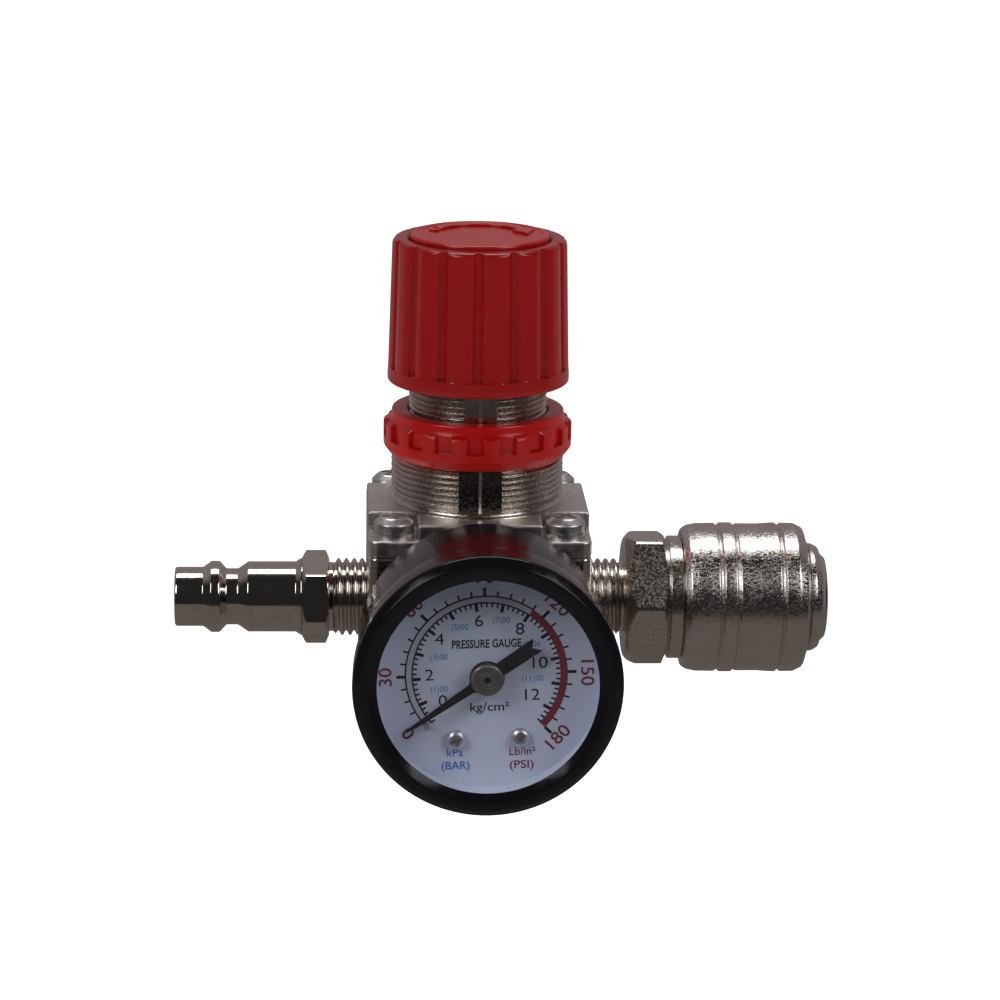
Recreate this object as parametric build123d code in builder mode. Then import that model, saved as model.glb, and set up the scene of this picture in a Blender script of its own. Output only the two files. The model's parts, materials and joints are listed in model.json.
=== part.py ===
"""Air pressure regulator with a hose plug at its inlet, a quick coupler at its outlet and a dial gauge.

Millimetres. The air line runs along X, from the inlet plug at -X to the coupler at +X. The knob stands
along +Z and the gauge faces -Y. The origin is where the air line crosses the knob's axis.
"""

from build123d import *
import math
import os

# ---------------------------------------------------------------- driving dimensions
BODY_HALF = 18.5            # the body and the bonnet's flange are square
BODY_CORNER_R = 1.6
BODY_BOTTOM = -16.0
SPLIT_Z = 12.0              # where the bonnet sits on the body
SCREW_SEAT_Z = 14.8         # floor of the notches at the flange's corners
FLANGE_TOP = 17.6
NOTCH_FROM_X = 10.3
NOTCH_FROM_Y = 9.9
SCREW_GRID = 28.5
SCREW_R = 1.85
SCREW_HOLE_R = 1.95
SCREW_CLEAR_R = 2.2

PANEL_THREAD_R = 14.5       # large thread below the lock ring
PANEL_THREAD_FOOT = 18.4
PANEL_SEAT_Z = 25.5         # the large thread's top face, where a panel would sit
NECK_R = 11.6
NECK_TOP = 48.5
FINE_PITCH = 1.0
FINE_DEPTH = 0.62
PANEL_FLAT_HALF = 3.7       # half width of the flats that cross the threads, front and back
NECK_FLAT_HALF = 2.85
FLAT_DEPTH = 1.0
SPRING_ROOM_R = 9.3
SPRING_ROOM_TOP = 44.0

PORT_PITCH = 1.337          # G 1/4 threads at both ports
PORT_CREST_R = 6.58
PORT_DEPTH = 0.75
PORT_BORE_R = 6.6
PORT_BORE_END = 9.5         # distance of the bore's floor from the centre
GAUGE_PORT_R = 4.9
GAUGE_PASSAGE_Z = 3.2
AIR_R = 2.5                 # drilled air passages
FLOW_R = 3.5                # bore through plug and coupler

RING_BOTTOM = 25.7
RING_TOP = 33.3
RING_HOLE_R = 11.7
RING_RIM_R = 14.9
RING_BAND_R = 15.85
RING_POCKET_R = 15.0
RING_RIBS = 18
RING_TURN = -93.4           # direction of the first pocket, where the ring came to rest

KNOB_BOTTOM = 38.1
KNOB_TOP = 62.3
KNOB_BOTTOM_R = 15.25
KNOB_TOP_R = 14.6
KNOB_ROOM_R = 12.3
KNOB_ROOM_TOP = 55.5
KNOB_WEB_TOP = 60.6
KNOB_CAP_R = 11.6
KNOB_CAP_TOP = 63.3
KNOB_FLUTES = 15
KNOB_TURN = -92.8           # direction of the first flute, as the knob was left
ADJUST_R = 4.9
ADJUST_HEAD_ACROSS = 13.0

DIAPHRAGM_R = 16.0
DIAPHRAGM_T = 1.0
DIAPHRAGM_SEAT_R = 16.05
CHAMBER_R = 13.0
CHAMBER_FLOOR = 5.5
WELL_R = 6.5
SEAT_TOP = 1.5              # web between the upper well and the lower chamber
SEAT_BOTTOM = -1.0
SEAT_HOLE_R = 3.2
LOWER_BORE_R = 7.5
ORING_GROOVE_R = 8.95
ORING_GROOVE_DEPTH = 1.4
ORING_WIRE_R = 0.67

HEX_ACROSS = 14.0           # inlet plug
HEX_TURN = 80.0             # degrees from a flat facing the viewer, as it came to rest when screwed home
COUPLER_HEX_ACROSS = 21.0
COUPLER_HEX_TURN = 54.0
COUPLER_NECK_R = 10.5
SOCKET_R = 6.15
BALL_ROOM_R = 6.7           # wider stretch of the socket, around the balls
SLEEVE_IN_R = 10.6
BARREL_R = 8.0
BALL_R = 1.6
BALL_X = 51.0
BALL_OFFSET = 6.6           # ball centre from the coupler's axis when locked
BALL_COUNT = 4

GAUGE_Z = 0.7
GAUGE_FRONT = -53.9
BEZEL_R = 21.4
WINDOW_R = 17.5
CASE_R = 20.3
CASE_IN_R = 19.5
CASE_BACK = -28.2
DIAL_Y = -45.5              # printed face of the dial
DIAL_R = 19.2
DIAL_ROLL = 2.0             # the gauge is screwed home this far off level, in degrees
POINTER_REST = 215.2        # pointer's direction on its stop, counter-clockwise from +X seen from the front
POINTER_TIP = 15.4
POINTER_TAIL = 9.6
HUB_R = 2.6
STOP_PIN_AT = (12.3, 219.9)  # radius and direction of the stop pin
ARBOR_R = 0.5
GEAR_MODULE = 0.25
PINION_TEETH = 10
SECTOR_TEETH = 90           # of the full wheel that the sector is part of
SECTOR_PIVOT_Z = -12.5      # below the pointer's axis
TOOTH_ROOM = 0.18           # play between meshing teeth at the pitch line
RUNNING = 0.05              # radial play of a shaft in its hole

# ---------------------------------------------------------------- drawing helpers
SIDE = Plane.XZ             # sketches (x, z), and also (x, r) or (r, z) of what is turned
GAUGE_AXIS = Axis((0, 0, GAUGE_Z), (0, 1, 0))
GAUGE_SIDE = Plane(origin=(0, 0, GAUGE_Z), x_dir=(0, 1, 0), z_dir=(1, 0, 0))


def facing_front(y):
    """A plane across the gauge's axis, seen from the front: x to the right, z up, its normal to the front."""
    return Plane(origin=(0, y, GAUGE_Z), x_dir=(1, 0, 0), z_dir=(0, -1, 0))


def across_x(x):
    """A plane across the air line, its normal along +X."""
    return Plane.YZ.offset(x)


def outline(plane, *points):
    """A closed outline of straight sides."""
    with BuildSketch(plane) as drawn:
        with BuildLine():
            Polyline(*points, close=True)
        make_face()
    return drawn.sketch


def disc(plane, radius, hole=0.0):
    """A round disc, or a ring."""
    with BuildSketch(plane) as drawn:
        Circle(radius)
        if hole:
            Circle(hole, mode=Mode.SUBTRACT)
    return drawn.sketch


def hexagon(plane, across, turn=0.0, hole=0.0):
    """A hexagon by its size across flats."""
    with BuildSketch(plane) as drawn:
        RegularPolygon(across / 2, 6, major_radius=False, rotation=turn)
        if hole:
            Circle(hole, mode=Mode.SUBTRACT)
    return drawn.sketch


def along(points):
    """Swaps the two numbers of each point, so that an edge drawn along X can be drawn along Z."""
    return [(second, first) for first, second in points]


def thread_edge(start, end, crest_r, depth, pitch):
    """The toothed edge of a thread, (position, radius), with flat crests and roots."""
    turns = int((end - start) / pitch + 0.01)
    edge = [(start, crest_r - depth)]
    for turn in range(turns):
        foot = start + turn * pitch
        edge.append((foot + 0.10 * pitch, crest_r - depth))
        edge.append((foot + 0.36 * pitch, crest_r))
        edge.append((foot + 0.64 * pitch, crest_r))
        edge.append((foot + 0.90 * pitch, crest_r - depth))
    edge.append((end, crest_r - depth))
    return edge


def chamfered_hex(plane, across, turn, length, hole, dome):
    """A hexagon nut shape whose corners are turned down at both ends."""
    with BuildPart() as nut:
        extrude(hexagon(plane, across, turn, hole), amount=length)
        end_r = across / 2 - 0.1
        corner_r = across / math.sqrt(3) + 0.1
        turned_down = outline(
            Plane(origin=plane.origin, x_dir=plane.z_dir, z_dir=plane.y_dir * -1),
            (0, 0), (0, end_r), (dome, corner_r), (length - dome, corner_r), (length, end_r), (length, 0),
        )
        revolve(turned_down, axis=Axis(plane.origin, plane.z_dir), mode=Mode.INTERSECT)
    return nut.part


def coil(start, length, radius, wire_r, turns, along_x=False):
    """A helical spring of round wire, standing on start and growing along Z, or along X."""
    direction = (1, 0, 0) if along_x else (0, 0, 1)
    height = length - 2 * wire_r
    foot = tuple(start + wire_r if part else 0 for part in direction)
    with BuildPart() as spring:
        with BuildLine():
            path = Helix(pitch=height / turns, height=height, radius=radius, center=foot, direction=direction)
        with BuildSketch(Plane(origin=path @ 0, z_dir=path % 0)):
            Circle(wire_r)
        sweep(is_frenet=True)
    return spring.part


os.makedirs("parts", exist_ok=True)


def save(name, part):
    """Labels a finished piece and writes its file."""
    part.label = name
    export_step(part, f"parts/{name}.step")


# ================================================================ body and bonnet
PORT_SIDES = ((-1, -3.5), (1, 3.5))      # inlet feeds the lower chamber, outlet leaves the upper one

with BuildPart() as body:
    with BuildSketch(Plane.XY.offset(BODY_BOTTOM)):
        RectangleRounded(2 * BODY_HALF, 2 * BODY_HALF, BODY_CORNER_R)
    extrude(amount=SPLIT_Z - BODY_BOTTOM)
    chamfer(body.faces().sort_by(Axis.Z)[0].edges(), 1.2)
    # seat for the diaphragm's rim, the chamber under it, and the well above the valve seat
    split = Plane.XY.offset(SPLIT_Z)
    extrude(disc(split, DIAPHRAGM_SEAT_R), amount=-DIAPHRAGM_T / 2, mode=Mode.SUBTRACT)
    extrude(disc(split, CHAMBER_R), amount=CHAMBER_FLOOR - SPLIT_Z, mode=Mode.SUBTRACT)
    extrude(disc(split, WELL_R), amount=SEAT_TOP - SPLIT_Z, mode=Mode.SUBTRACT)
    extrude(disc(split, SEAT_HOLE_R), amount=SEAT_BOTTOM - 1 - SPLIT_Z, mode=Mode.SUBTRACT)
    # the lower bore, with the groove for the plug's sealing ring at its mouth
    bottom = Plane.XY.offset(BODY_BOTTOM)
    extrude(disc(bottom, LOWER_BORE_R), amount=SEAT_BOTTOM - BODY_BOTTOM, mode=Mode.SUBTRACT)
    extrude(disc(bottom, ORING_GROOVE_R), amount=ORING_GROOVE_DEPTH, mode=Mode.SUBTRACT)
    for side, passage_z in PORT_SIDES:
        depth = BODY_HALF - PORT_BORE_END
        extrude(disc(across_x(side * BODY_HALF), PORT_BORE_R), amount=-side * depth, mode=Mode.SUBTRACT)
        passage = Plane(origin=(side * PORT_BORE_END, 0, passage_z), z_dir=(-side, 0, 0))
        extrude(disc(passage, AIR_R), amount=5, mode=Mode.SUBTRACT)
    for side in (-1, 1):
        gauge_port = Plane(origin=(0, side * BODY_HALF, GAUGE_Z), z_dir=(0, -side, 0))
        extrude(disc(gauge_port, GAUGE_PORT_R), amount=BODY_HALF - PORT_BORE_END, mode=Mode.SUBTRACT)
        gauge_passage = Plane(origin=(0, side * PORT_BORE_END, GAUGE_PASSAGE_Z), z_dir=(0, -side, 0))
        extrude(disc(gauge_passage, 1.2), amount=4.5, mode=Mode.SUBTRACT)
    with GridLocations(SCREW_GRID, SCREW_GRID, 2, 2):
        with Locations((0, 0, SPLIT_Z)):
            Cylinder(SCREW_HOLE_R, 11, align=(Align.CENTER, Align.CENTER, Align.MAX), mode=Mode.SUBTRACT)
save("body", body.part)

PANEL_FLAT = math.sqrt(PANEL_THREAD_R**2 - PANEL_FLAT_HALF**2)
NECK_FLAT = math.sqrt(NECK_R**2 - NECK_FLAT_HALF**2)
with BuildPart() as bonnet:
    panel_thread = thread_edge(PANEL_THREAD_FOOT, PANEL_SEAT_Z, PANEL_THREAD_R, FINE_DEPTH, FINE_PITCH)
    neck_thread = thread_edge(PANEL_SEAT_Z + 0.4, NECK_TOP - 0.6, NECK_R, FINE_DEPTH, FINE_PITCH)
    revolve(
        outline(
            SIDE, (0, SPLIT_Z), (PANEL_THREAD_R - 0.4, SPLIT_Z),
            (PANEL_THREAD_R - 0.4, FLANGE_TOP + 0.6), *along(panel_thread),
            (NECK_R - FINE_DEPTH, PANEL_SEAT_Z), *along(neck_thread), (NECK_R - 1.2, NECK_TOP), (0, NECK_TOP),
        ),
        axis=Axis.Z,
    )
    panel_stretch = (PANEL_FLAT, PANEL_FLAT_HALF, FLANGE_TOP + 0.7, PANEL_SEAT_Z)
    neck_stretch = (NECK_FLAT, NECK_FLAT_HALF, PANEL_SEAT_Z, NECK_TOP + 1)
    for flat, half_width, low, high in (panel_stretch, neck_stretch):
        for side in (-1, 1):
            shaved = Plane.XY.offset(low)
            with BuildSketch(shaved):
                with Locations((0, side * (flat + 5))):
                    Rectangle(40, 10)
            extrude(amount=high - low, mode=Mode.SUBTRACT)
            # the thread isn't cut into the flats, so the metal is whole behind them
            with BuildSketch(shaved):
                with Locations((0, side * (flat - FLAT_DEPTH / 2))):
                    Rectangle(2 * half_width, FLAT_DEPTH)
            extrude(amount=min(high, NECK_TOP - 0.6) - low)
    with BuildSketch(Plane.XY.offset(SPLIT_Z)):
        RectangleRounded(2 * BODY_HALF, 2 * BODY_HALF, BODY_CORNER_R)
    extrude(amount=SCREW_SEAT_Z - SPLIT_Z)
    with BuildSketch(Plane.XY.offset(SCREW_SEAT_Z)):
        Rectangle(2 * BODY_HALF, 2 * NOTCH_FROM_Y)
        Rectangle(2 * NOTCH_FROM_X, 2 * BODY_HALF)
    extrude(amount=FLANGE_TOP - SCREW_SEAT_Z)
    # inside: diaphragm seat, room for its plate, the spring's room and the screw's threaded hole
    extrude(disc(split, DIAPHRAGM_SEAT_R), amount=DIAPHRAGM_T / 2, mode=Mode.SUBTRACT)
    extrude(disc(split, CHAMBER_R - 0.6), amount=4.0, mode=Mode.SUBTRACT)
    extrude(disc(split, SPRING_ROOM_R), amount=SPRING_ROOM_TOP - SPLIT_Z, mode=Mode.SUBTRACT)
    extrude(disc(Plane.XY.offset(NECK_TOP), ADJUST_R + RUNNING), amount=-6, mode=Mode.SUBTRACT)
    with GridLocations(SCREW_GRID, SCREW_GRID, 2, 2):
        with Locations((0, 0, SPLIT_Z)):
            Cylinder(SCREW_CLEAR_R, 3, align=(Align.CENTER, Align.CENTER, Align.MIN), mode=Mode.SUBTRACT)
save("bonnet", bonnet.part)

WASHER_T = 0.9
HEAD_R = 3.3
with BuildPart() as spring_washers:
    with GridLocations(SCREW_GRID, SCREW_GRID, 2, 2):
        with Locations((0, 0, SCREW_SEAT_Z)):
            Cylinder(3.4, WASHER_T, align=(Align.CENTER, Align.CENTER, Align.MIN))
            Cylinder(2.1, WASHER_T, align=(Align.CENTER, Align.CENTER, Align.MIN), mode=Mode.SUBTRACT)
        with Locations((2.8, 0, SCREW_SEAT_Z)):
            Box(1.6, 0.5, 2 * WASHER_T, mode=Mode.SUBTRACT)
save("spring_washers", spring_washers.part)

with BuildPart() as bonnet_screw:
    head_foot = SCREW_SEAT_Z + WASHER_T
    revolve(
        outline(
            SIDE, (0, 2.0), (1.2, 2.0), (SCREW_R, 2.8), (SCREW_R, head_foot), (HEAD_R, head_foot),
            (HEAD_R, head_foot + 1.2), (HEAD_R - 0.35, head_foot + 1.9), (HEAD_R - 1.3, head_foot + 2.45),
            (0, head_foot + 2.7),
        ),
        axis=Axis.Z,
    )
    with BuildSketch(Plane.XY.offset(head_foot + 1.0)):
        Rectangle(3.6, 0.75, rotation=45)
        Rectangle(0.75, 3.6, rotation=45)
    extrude(amount=3, mode=Mode.SUBTRACT)
with BuildPart() as bonnet_screws:
    with GridLocations(SCREW_GRID, SCREW_GRID, 2, 2):
        add(bonnet_screw.part)
save("bonnet_screws", bonnet_screws.part)

# ================================================================ diaphragm, spring and knob
# The diaphragm is a dished disc. Its flat middle lies lower than its clamped rim.
DISH_TOP = 10.3
DISH_BOTTOM = DISH_TOP - DIAPHRAGM_T
RIVET_HOLE_R = 2.55         # through diaphragm and plate, for the relief seat's neck
RIM_TOP = SPLIT_Z + DIAPHRAGM_T / 2
RIM_BOTTOM = SPLIT_Z - DIAPHRAGM_T / 2
with BuildPart() as diaphragm:
    revolve(
        outline(
            SIDE, (RIVET_HOLE_R, DISH_BOTTOM), (10.6, DISH_BOTTOM), (12.4, RIM_BOTTOM),
            (DIAPHRAGM_R, RIM_BOTTOM), (DIAPHRAGM_R, RIM_TOP), (12.0, RIM_TOP), (10.2, DISH_TOP),
            (RIVET_HOLE_R, DISH_TOP),
        ),
        axis=Axis.Z,
    )
save("diaphragm", diaphragm.part)

PLATE_TOP = 12.2
with BuildPart() as diaphragm_plate:
    revolve(
        outline(
            SIDE, (RIVET_HOLE_R, DISH_TOP), (9.0, DISH_TOP), (9.0, PLATE_TOP - 0.3), (8.7, PLATE_TOP),
            (6.0, PLATE_TOP), (5.4, PLATE_TOP + 1.6), (RIVET_HOLE_R, PLATE_TOP + 1.6),
        ),
        axis=Axis.Z,
    )
save("diaphragm_plate", diaphragm_plate.part)

STEM_TIP = 7.6
with BuildPart() as relief_seat:
    revolve(
        outline(
            SIDE, (0.6, STEM_TIP), (6.2, STEM_TIP), (6.2, DISH_BOTTOM), (RIVET_HOLE_R - RUNNING, DISH_BOTTOM),
            (RIVET_HOLE_R - RUNNING, PLATE_TOP + 2.6), (0.6, PLATE_TOP + 2.6),
        ),
        axis=Axis.Z,
    )
save("relief_seat", relief_seat.part)

BUTTON_BOTTOM = 39.4
save("range_spring", coil(PLATE_TOP, BUTTON_BOTTOM - PLATE_TOP, 7.5, 1.2, 6.5))

with BuildPart() as spring_button:
    revolve(
        outline(
            SIDE, (0, BUTTON_BOTTOM - 1.6), (5.6, BUTTON_BOTTOM - 1.6), (6.1, BUTTON_BOTTOM),
            (9.0, BUTTON_BOTTOM), (9.0, BUTTON_BOTTOM + 1.5), (0, BUTTON_BOTTOM + 1.5),
        ),
        axis=Axis.Z,
    )
save("spring_button", spring_button.part)

with BuildPart() as adjusting_screw:
    screw_tip = BUTTON_BOTTOM + 1.5
    revolve(
        outline(
            SIDE, (0, screw_tip), (2.6, screw_tip), (ADJUST_R, screw_tip + 1.4), (ADJUST_R, KNOB_ROOM_TOP),
            (0, KNOB_ROOM_TOP),
        ),
        axis=Axis.Z,
    )
    extrude(hexagon(Plane.XY.offset(KNOB_ROOM_TOP), ADJUST_HEAD_ACROSS - 0.1), amount=5.0)
save("adjusting_screw", adjusting_screw.part)


def knob_side_r(z):
    """Radius of the knob's tapered side at a height."""
    share = (z - KNOB_BOTTOM) / (KNOB_TOP - KNOB_BOTTOM)
    return KNOB_BOTTOM_R + share * (KNOB_TOP_R - KNOB_BOTTOM_R)


with BuildPart() as knob:
    revolve(
        outline(
            SIDE, (KNOB_ROOM_R, KNOB_BOTTOM), (KNOB_BOTTOM_R - 0.4, KNOB_BOTTOM),
            (KNOB_BOTTOM_R, KNOB_BOTTOM + 0.5), (knob_side_r(KNOB_TOP - 1.2), KNOB_TOP - 1.2),
            (KNOB_TOP_R - 0.4, KNOB_TOP - 0.35), (KNOB_TOP_R - 1.3, KNOB_TOP), (KNOB_CAP_R + 0.1, KNOB_TOP),
            (KNOB_CAP_R + 0.1, KNOB_WEB_TOP), (0, KNOB_WEB_TOP), (0, KNOB_ROOM_TOP),
            (KNOB_ROOM_R, KNOB_ROOM_TOP),
        ),
        axis=Axis.Z,
    )
    extrude(hexagon(Plane.XY.offset(KNOB_ROOM_TOP), ADJUST_HEAD_ACROSS), amount=6, mode=Mode.SUBTRACT)
    # flutes, from a little above the bottom edge to the top
    with BuildSketch(Plane.XY.offset(KNOB_BOTTOM + 2.6)):
        with PolarLocations(KNOB_BOTTOM_R + 0.35, KNOB_FLUTES, start_angle=KNOB_TURN):
            SlotCenterToCenter(0.9, 2.2, rotation=90)
    extrude(amount=KNOB_TOP, mode=Mode.SUBTRACT)
save("knob", knob.part)

with BuildPart() as knob_cap:
    extrude(disc(Plane.XY.offset(KNOB_WEB_TOP), KNOB_CAP_R), amount=KNOB_CAP_TOP - KNOB_WEB_TOP)
    fillet(knob_cap.faces().sort_by(Axis.Z)[-1].edges(), 0.6)
save("knob_cap", knob_cap.part)

with BuildPart() as lock_ring:
    revolve(
        outline(
            SIDE, (RING_HOLE_R, RING_BOTTOM), (RING_RIM_R - 0.5, RING_BOTTOM),
            (RING_RIM_R, RING_BOTTOM + 0.6), (RING_BAND_R, RING_BOTTOM + 1.8), (RING_BAND_R, RING_TOP - 1.9),
            (RING_RIM_R - 0.1, RING_TOP - 1.2), (RING_RIM_R - 0.6, RING_TOP), (RING_HOLE_R, RING_TOP),
        ),
        axis=Axis.Z,
    )
    # finger pockets between the ribs, open to the top
    pocket_floor = RING_BOTTOM + 3.0
    with BuildSketch(Plane.XY.offset(pocket_floor)):
        with PolarLocations(RING_POCKET_R + 1.0, RING_RIBS, start_angle=RING_TURN):
            Rectangle(2.0, 2.9)
    extrude(amount=RING_TOP - 1.2 - pocket_floor, mode=Mode.SUBTRACT)
save("lock_ring", lock_ring.part)

# ================================================================ valve and plugs of the body
POPPET_R = 5.0
POPPET_TOP = SEAT_BOTTOM - 1.6
POPPET_BOTTOM = -5.0
TAIL_R = 2.4
with BuildPart() as poppet:
    revolve(
        outline(
            SIDE, (0, -13.0), (TAIL_R - 0.4, -13.0), (TAIL_R, -12.6), (TAIL_R, POPPET_BOTTOM),
            (POPPET_R, POPPET_BOTTOM), (POPPET_R, POPPET_TOP), (1.1, POPPET_TOP), (1.1, STEM_TIP - 0.9),
            (0.5, STEM_TIP), (0, STEM_TIP),
        ),
        axis=Axis.Z,
    )
save("poppet", poppet.part)

with BuildPart() as poppet_seal:
    extrude(disc(Plane.XY.offset(POPPET_TOP), POPPET_R, hole=1.12), amount=SEAT_BOTTOM - POPPET_TOP)
save("poppet_seal", poppet_seal.part)

PLUG_TOP = -11.0
save("valve_spring", coil(PLUG_TOP, POPPET_BOTTOM - PLUG_TOP, 3.9, 0.35, 4.5))

with BuildPart() as bottom_plug:
    extrude(disc(Plane.XY.offset(BODY_BOTTOM), LOWER_BORE_R - 0.1), amount=PLUG_TOP - BODY_BOTTOM)
    extrude(disc(Plane.XY.offset(PLUG_TOP), 3.2), amount=2.2)
    add(chamfered_hex(Plane.XY.offset(BODY_BOTTOM - 3.4), 17.8, 0, 3.4, 0, 0.8))
    extrude(disc(Plane.XY.offset(BODY_BOTTOM - 1.5), TAIL_R + RUNNING), amount=12, mode=Mode.SUBTRACT)
save("bottom_plug", bottom_plug.part)

with BuildPart() as bottom_plug_oring:
    with BuildSketch(SIDE):
        with Locations((ORING_GROOVE_R - ORING_WIRE_R - 0.08, BODY_BOTTOM + ORING_WIRE_R + 0.01)):
            Circle(ORING_WIRE_R)
    revolve(axis=Axis.Z)
save("bottom_plug_oring", bottom_plug_oring.part)

with BuildPart() as rear_port_plug:
    rear_face = Plane(origin=(0, BODY_HALF - 0.3, GAUGE_Z), z_dir=(0, 1, 0))
    extrude(disc(rear_face, 4.85), amount=-7.5)
    extrude(hexagon(rear_face, 5.0), amount=-4, mode=Mode.SUBTRACT)
    chamfer(rear_port_plug.faces().sort_by(Axis.Y)[-1].edges().filter_by(GeomType.CIRCLE), 0.5)
save("rear_port_plug", rear_port_plug.part)

# ================================================================ inlet plug
NOSE_R = 5.05
NOSE_END = -51.1
BEAD_R = 6.08
BEAD_X = -44.1
CATCH_R = 4.8               # floor of the groove that the mating coupler's balls fall into
CATCH = (-42.4, -40.3)
SHANK_R = 6.0
PLUG_HEX = (-29.4, -24.9)
PORT_START = 10.6           # inner end of both threads, from the centre
with BuildPart() as inlet_plug:
    port_thread = thread_edge(-24.0, -PORT_START, PORT_CREST_R, PORT_DEPTH, PORT_PITCH)
    with BuildSketch(SIDE):
        with BuildLine():
            nose = Polyline(
                (NOSE_END + 0.4, FLOW_R), (NOSE_END, FLOW_R + 0.4), (NOSE_END, NOSE_R - 0.5),
                (NOSE_END + 0.5, NOSE_R), (-46.4, NOSE_R), (-45.2, 5.6),
            )
            bead = ThreePointArc(nose @ 1, (BEAD_X, BEAD_R), (-43.1, 5.74))
            catch = Polyline(bead @ 1, (CATCH[0], CATCH_R), (CATCH[1], CATCH_R))
            shoulder = ThreePointArc(catch @ 1, (CATCH[1] + 0.65, 5.2), (-38.8, SHANK_R))
            shank = Line(shoulder @ 1, (PLUG_HEX[0] - 1.1, SHANK_R))
            flare = ThreePointArc(shank @ 1, (PLUG_HEX[0] - 0.4, 6.25), (PLUG_HEX[0], 6.7))
            Polyline(
                flare @ 1, (PLUG_HEX[1], 6.7), (PLUG_HEX[1], 6.2), *port_thread,
                (-PORT_START, FLOW_R), nose @ 0,
            )
        make_face()
    revolve(axis=Axis.X)
    add(chamfered_hex(across_x(PLUG_HEX[0]), HEX_ACROSS, HEX_TURN, PLUG_HEX[1] - PLUG_HEX[0], 5.0, 0.7))
save("inlet_plug", inlet_plug.part)

# ================================================================ outlet quick coupler
COUPLER_HEX = (25.2, 32.3)
ADAPTER_END = 40.3
VALVE_ROOM_R = 6.4
VALVE_ROOM_END = 29.0
with BuildPart() as coupler_adapter:
    port_thread = thread_edge(PORT_START, 24.7, PORT_CREST_R, PORT_DEPTH, PORT_PITCH)
    hex_start, hex_end = COUPLER_HEX
    revolve(
        outline(
            SIDE, (PORT_START, FLOW_R), *port_thread, (hex_start, 6.2), (hex_start, 8.0), (hex_end, 8.0),
            (hex_end, COUPLER_NECK_R - 0.3), (hex_end + 0.2, COUPLER_NECK_R), (34.9, COUPLER_NECK_R),
            (34.9, 9.0), (ADAPTER_END, 9.0), (ADAPTER_END, VALVE_ROOM_R), (VALVE_ROOM_END, VALVE_ROOM_R),
            (VALVE_ROOM_END, FLOW_R),
        ),
        axis=Axis.X,
    )
    nut = chamfered_hex(
        across_x(hex_start), COUPLER_HEX_ACROSS, COUPLER_HEX_TURN, hex_end - hex_start, hole=7.0, dome=1.0
    )
    add(nut)
save("coupler_adapter", coupler_adapter.part)

BARREL_WEB = (40.4, 46.2)   # guides the check valve
BARREL_STEP = 42.0
SEAL_END = 48.6
BALL_ROOM_END = 52.8
BARREL_END = 59.6
with BuildPart() as coupler_barrel:
    revolve(
        outline(
            SIDE, (35.0, 9.05), (35.0, COUPLER_NECK_R), (BARREL_STEP, COUPLER_NECK_R),
            (BARREL_STEP, BARREL_R), (58.6, BARREL_R), (59.2, 7.2), (BARREL_END, 6.9),
            (BARREL_END, 6.7), (59.0, SOCKET_R),
            (BALL_ROOM_END, SOCKET_R), (BALL_ROOM_END, BALL_ROOM_R), (SEAL_END, BALL_ROOM_R), (SEAL_END, 7.0),
            (BARREL_WEB[1], 7.0), (BARREL_WEB[1], 5.2), (BARREL_WEB[0], 5.2), (BARREL_WEB[0], 9.05),
        ),
        axis=Axis.X,
    )
    for ball in range(BALL_COUNT):
        bearing = math.radians(45 + 90 * ball)
        outward = (0, math.cos(bearing), math.sin(bearing))
        ball_hole = Plane(origin=(BALL_X, 0, 0), z_dir=outward)
        extrude(disc(ball_hole, BALL_R + 0.03), amount=9, mode=Mode.SUBTRACT)
save("coupler_barrel", coupler_barrel.part)

for ball in range(BALL_COUNT):
    bearing = math.radians(45 + 90 * ball)
    centre = (BALL_X, BALL_OFFSET * math.cos(bearing), BALL_OFFSET * math.sin(bearing))
    with BuildPart() as locking_ball:
        with Locations(centre):
            Sphere(BALL_R)
    save(f"locking_ball_{ball + 1}", locking_ball.part)

SLEEVE = (35.1, 56.4)
GRIP_R = 12.7
GROOVE_R = 12.4
LOCK_LAND = (47.9, 50.6)    # holds the balls in
RELIEF_R = 9.75             # lets them out when the sleeve is drawn back
with BuildPart() as coupler_sleeve:
    with BuildSketch(SIDE):
        with BuildLine():
            near_end = Line((SLEEVE[0], SLEEVE_IN_R), (SLEEVE[0], 11.8))
            near_round = ThreePointArc(near_end @ 1, (35.75, 12.33), (38.0, GRIP_R))
            # three turned grooves divide the grip
            grip = Polyline(
                near_round @ 1, (40.7, GRIP_R), (41.25, GROOVE_R), (41.6, GRIP_R + 0.1),
                (43.7, GRIP_R + 0.1), (44.0, GROOVE_R), (44.4, GRIP_R), (51.3, GRIP_R), (51.7, GROOVE_R),
                (52.1, GRIP_R), (54.2, GRIP_R),
            )
            far_round = ThreePointArc(grip @ 1, (55.7, 11.96), (SLEEVE[1], 9.95))
            Polyline(
                far_round @ 1, (SLEEVE[1], 8.3), (56.2, 8.1), (55.3, 8.1), (55.3, RELIEF_R), (53.2, RELIEF_R),
                (LOCK_LAND[1], 8.25), (LOCK_LAND[0], 8.25), (LOCK_LAND[0], SLEEVE_IN_R), near_end @ 0,
            )
        make_face()
    revolve(axis=Axis.X)
save("coupler_sleeve", coupler_sleeve.part)

with BuildPart() as sleeve_stop:
    revolve(
        outline(
            SIDE, (56.6, BARREL_R), (56.6, 9.3), (57.3, 9.16), (58.2, 8.8), (58.5, 8.5), (58.5, BARREL_R),
        ),
        axis=Axis.X,
    )
save("sleeve_stop", sleeve_stop.part)

# Both coupler springs are drawn at the length they have when fully pressed.
save("sleeve_spring", coil(BARREL_STEP, 3.2, 9.3, 0.4, 3, along_x=True))
save("coupler_valve_spring", coil(VALVE_ROOM_END, 3.9, 5.3, 0.35, 4, along_x=True))

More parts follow.
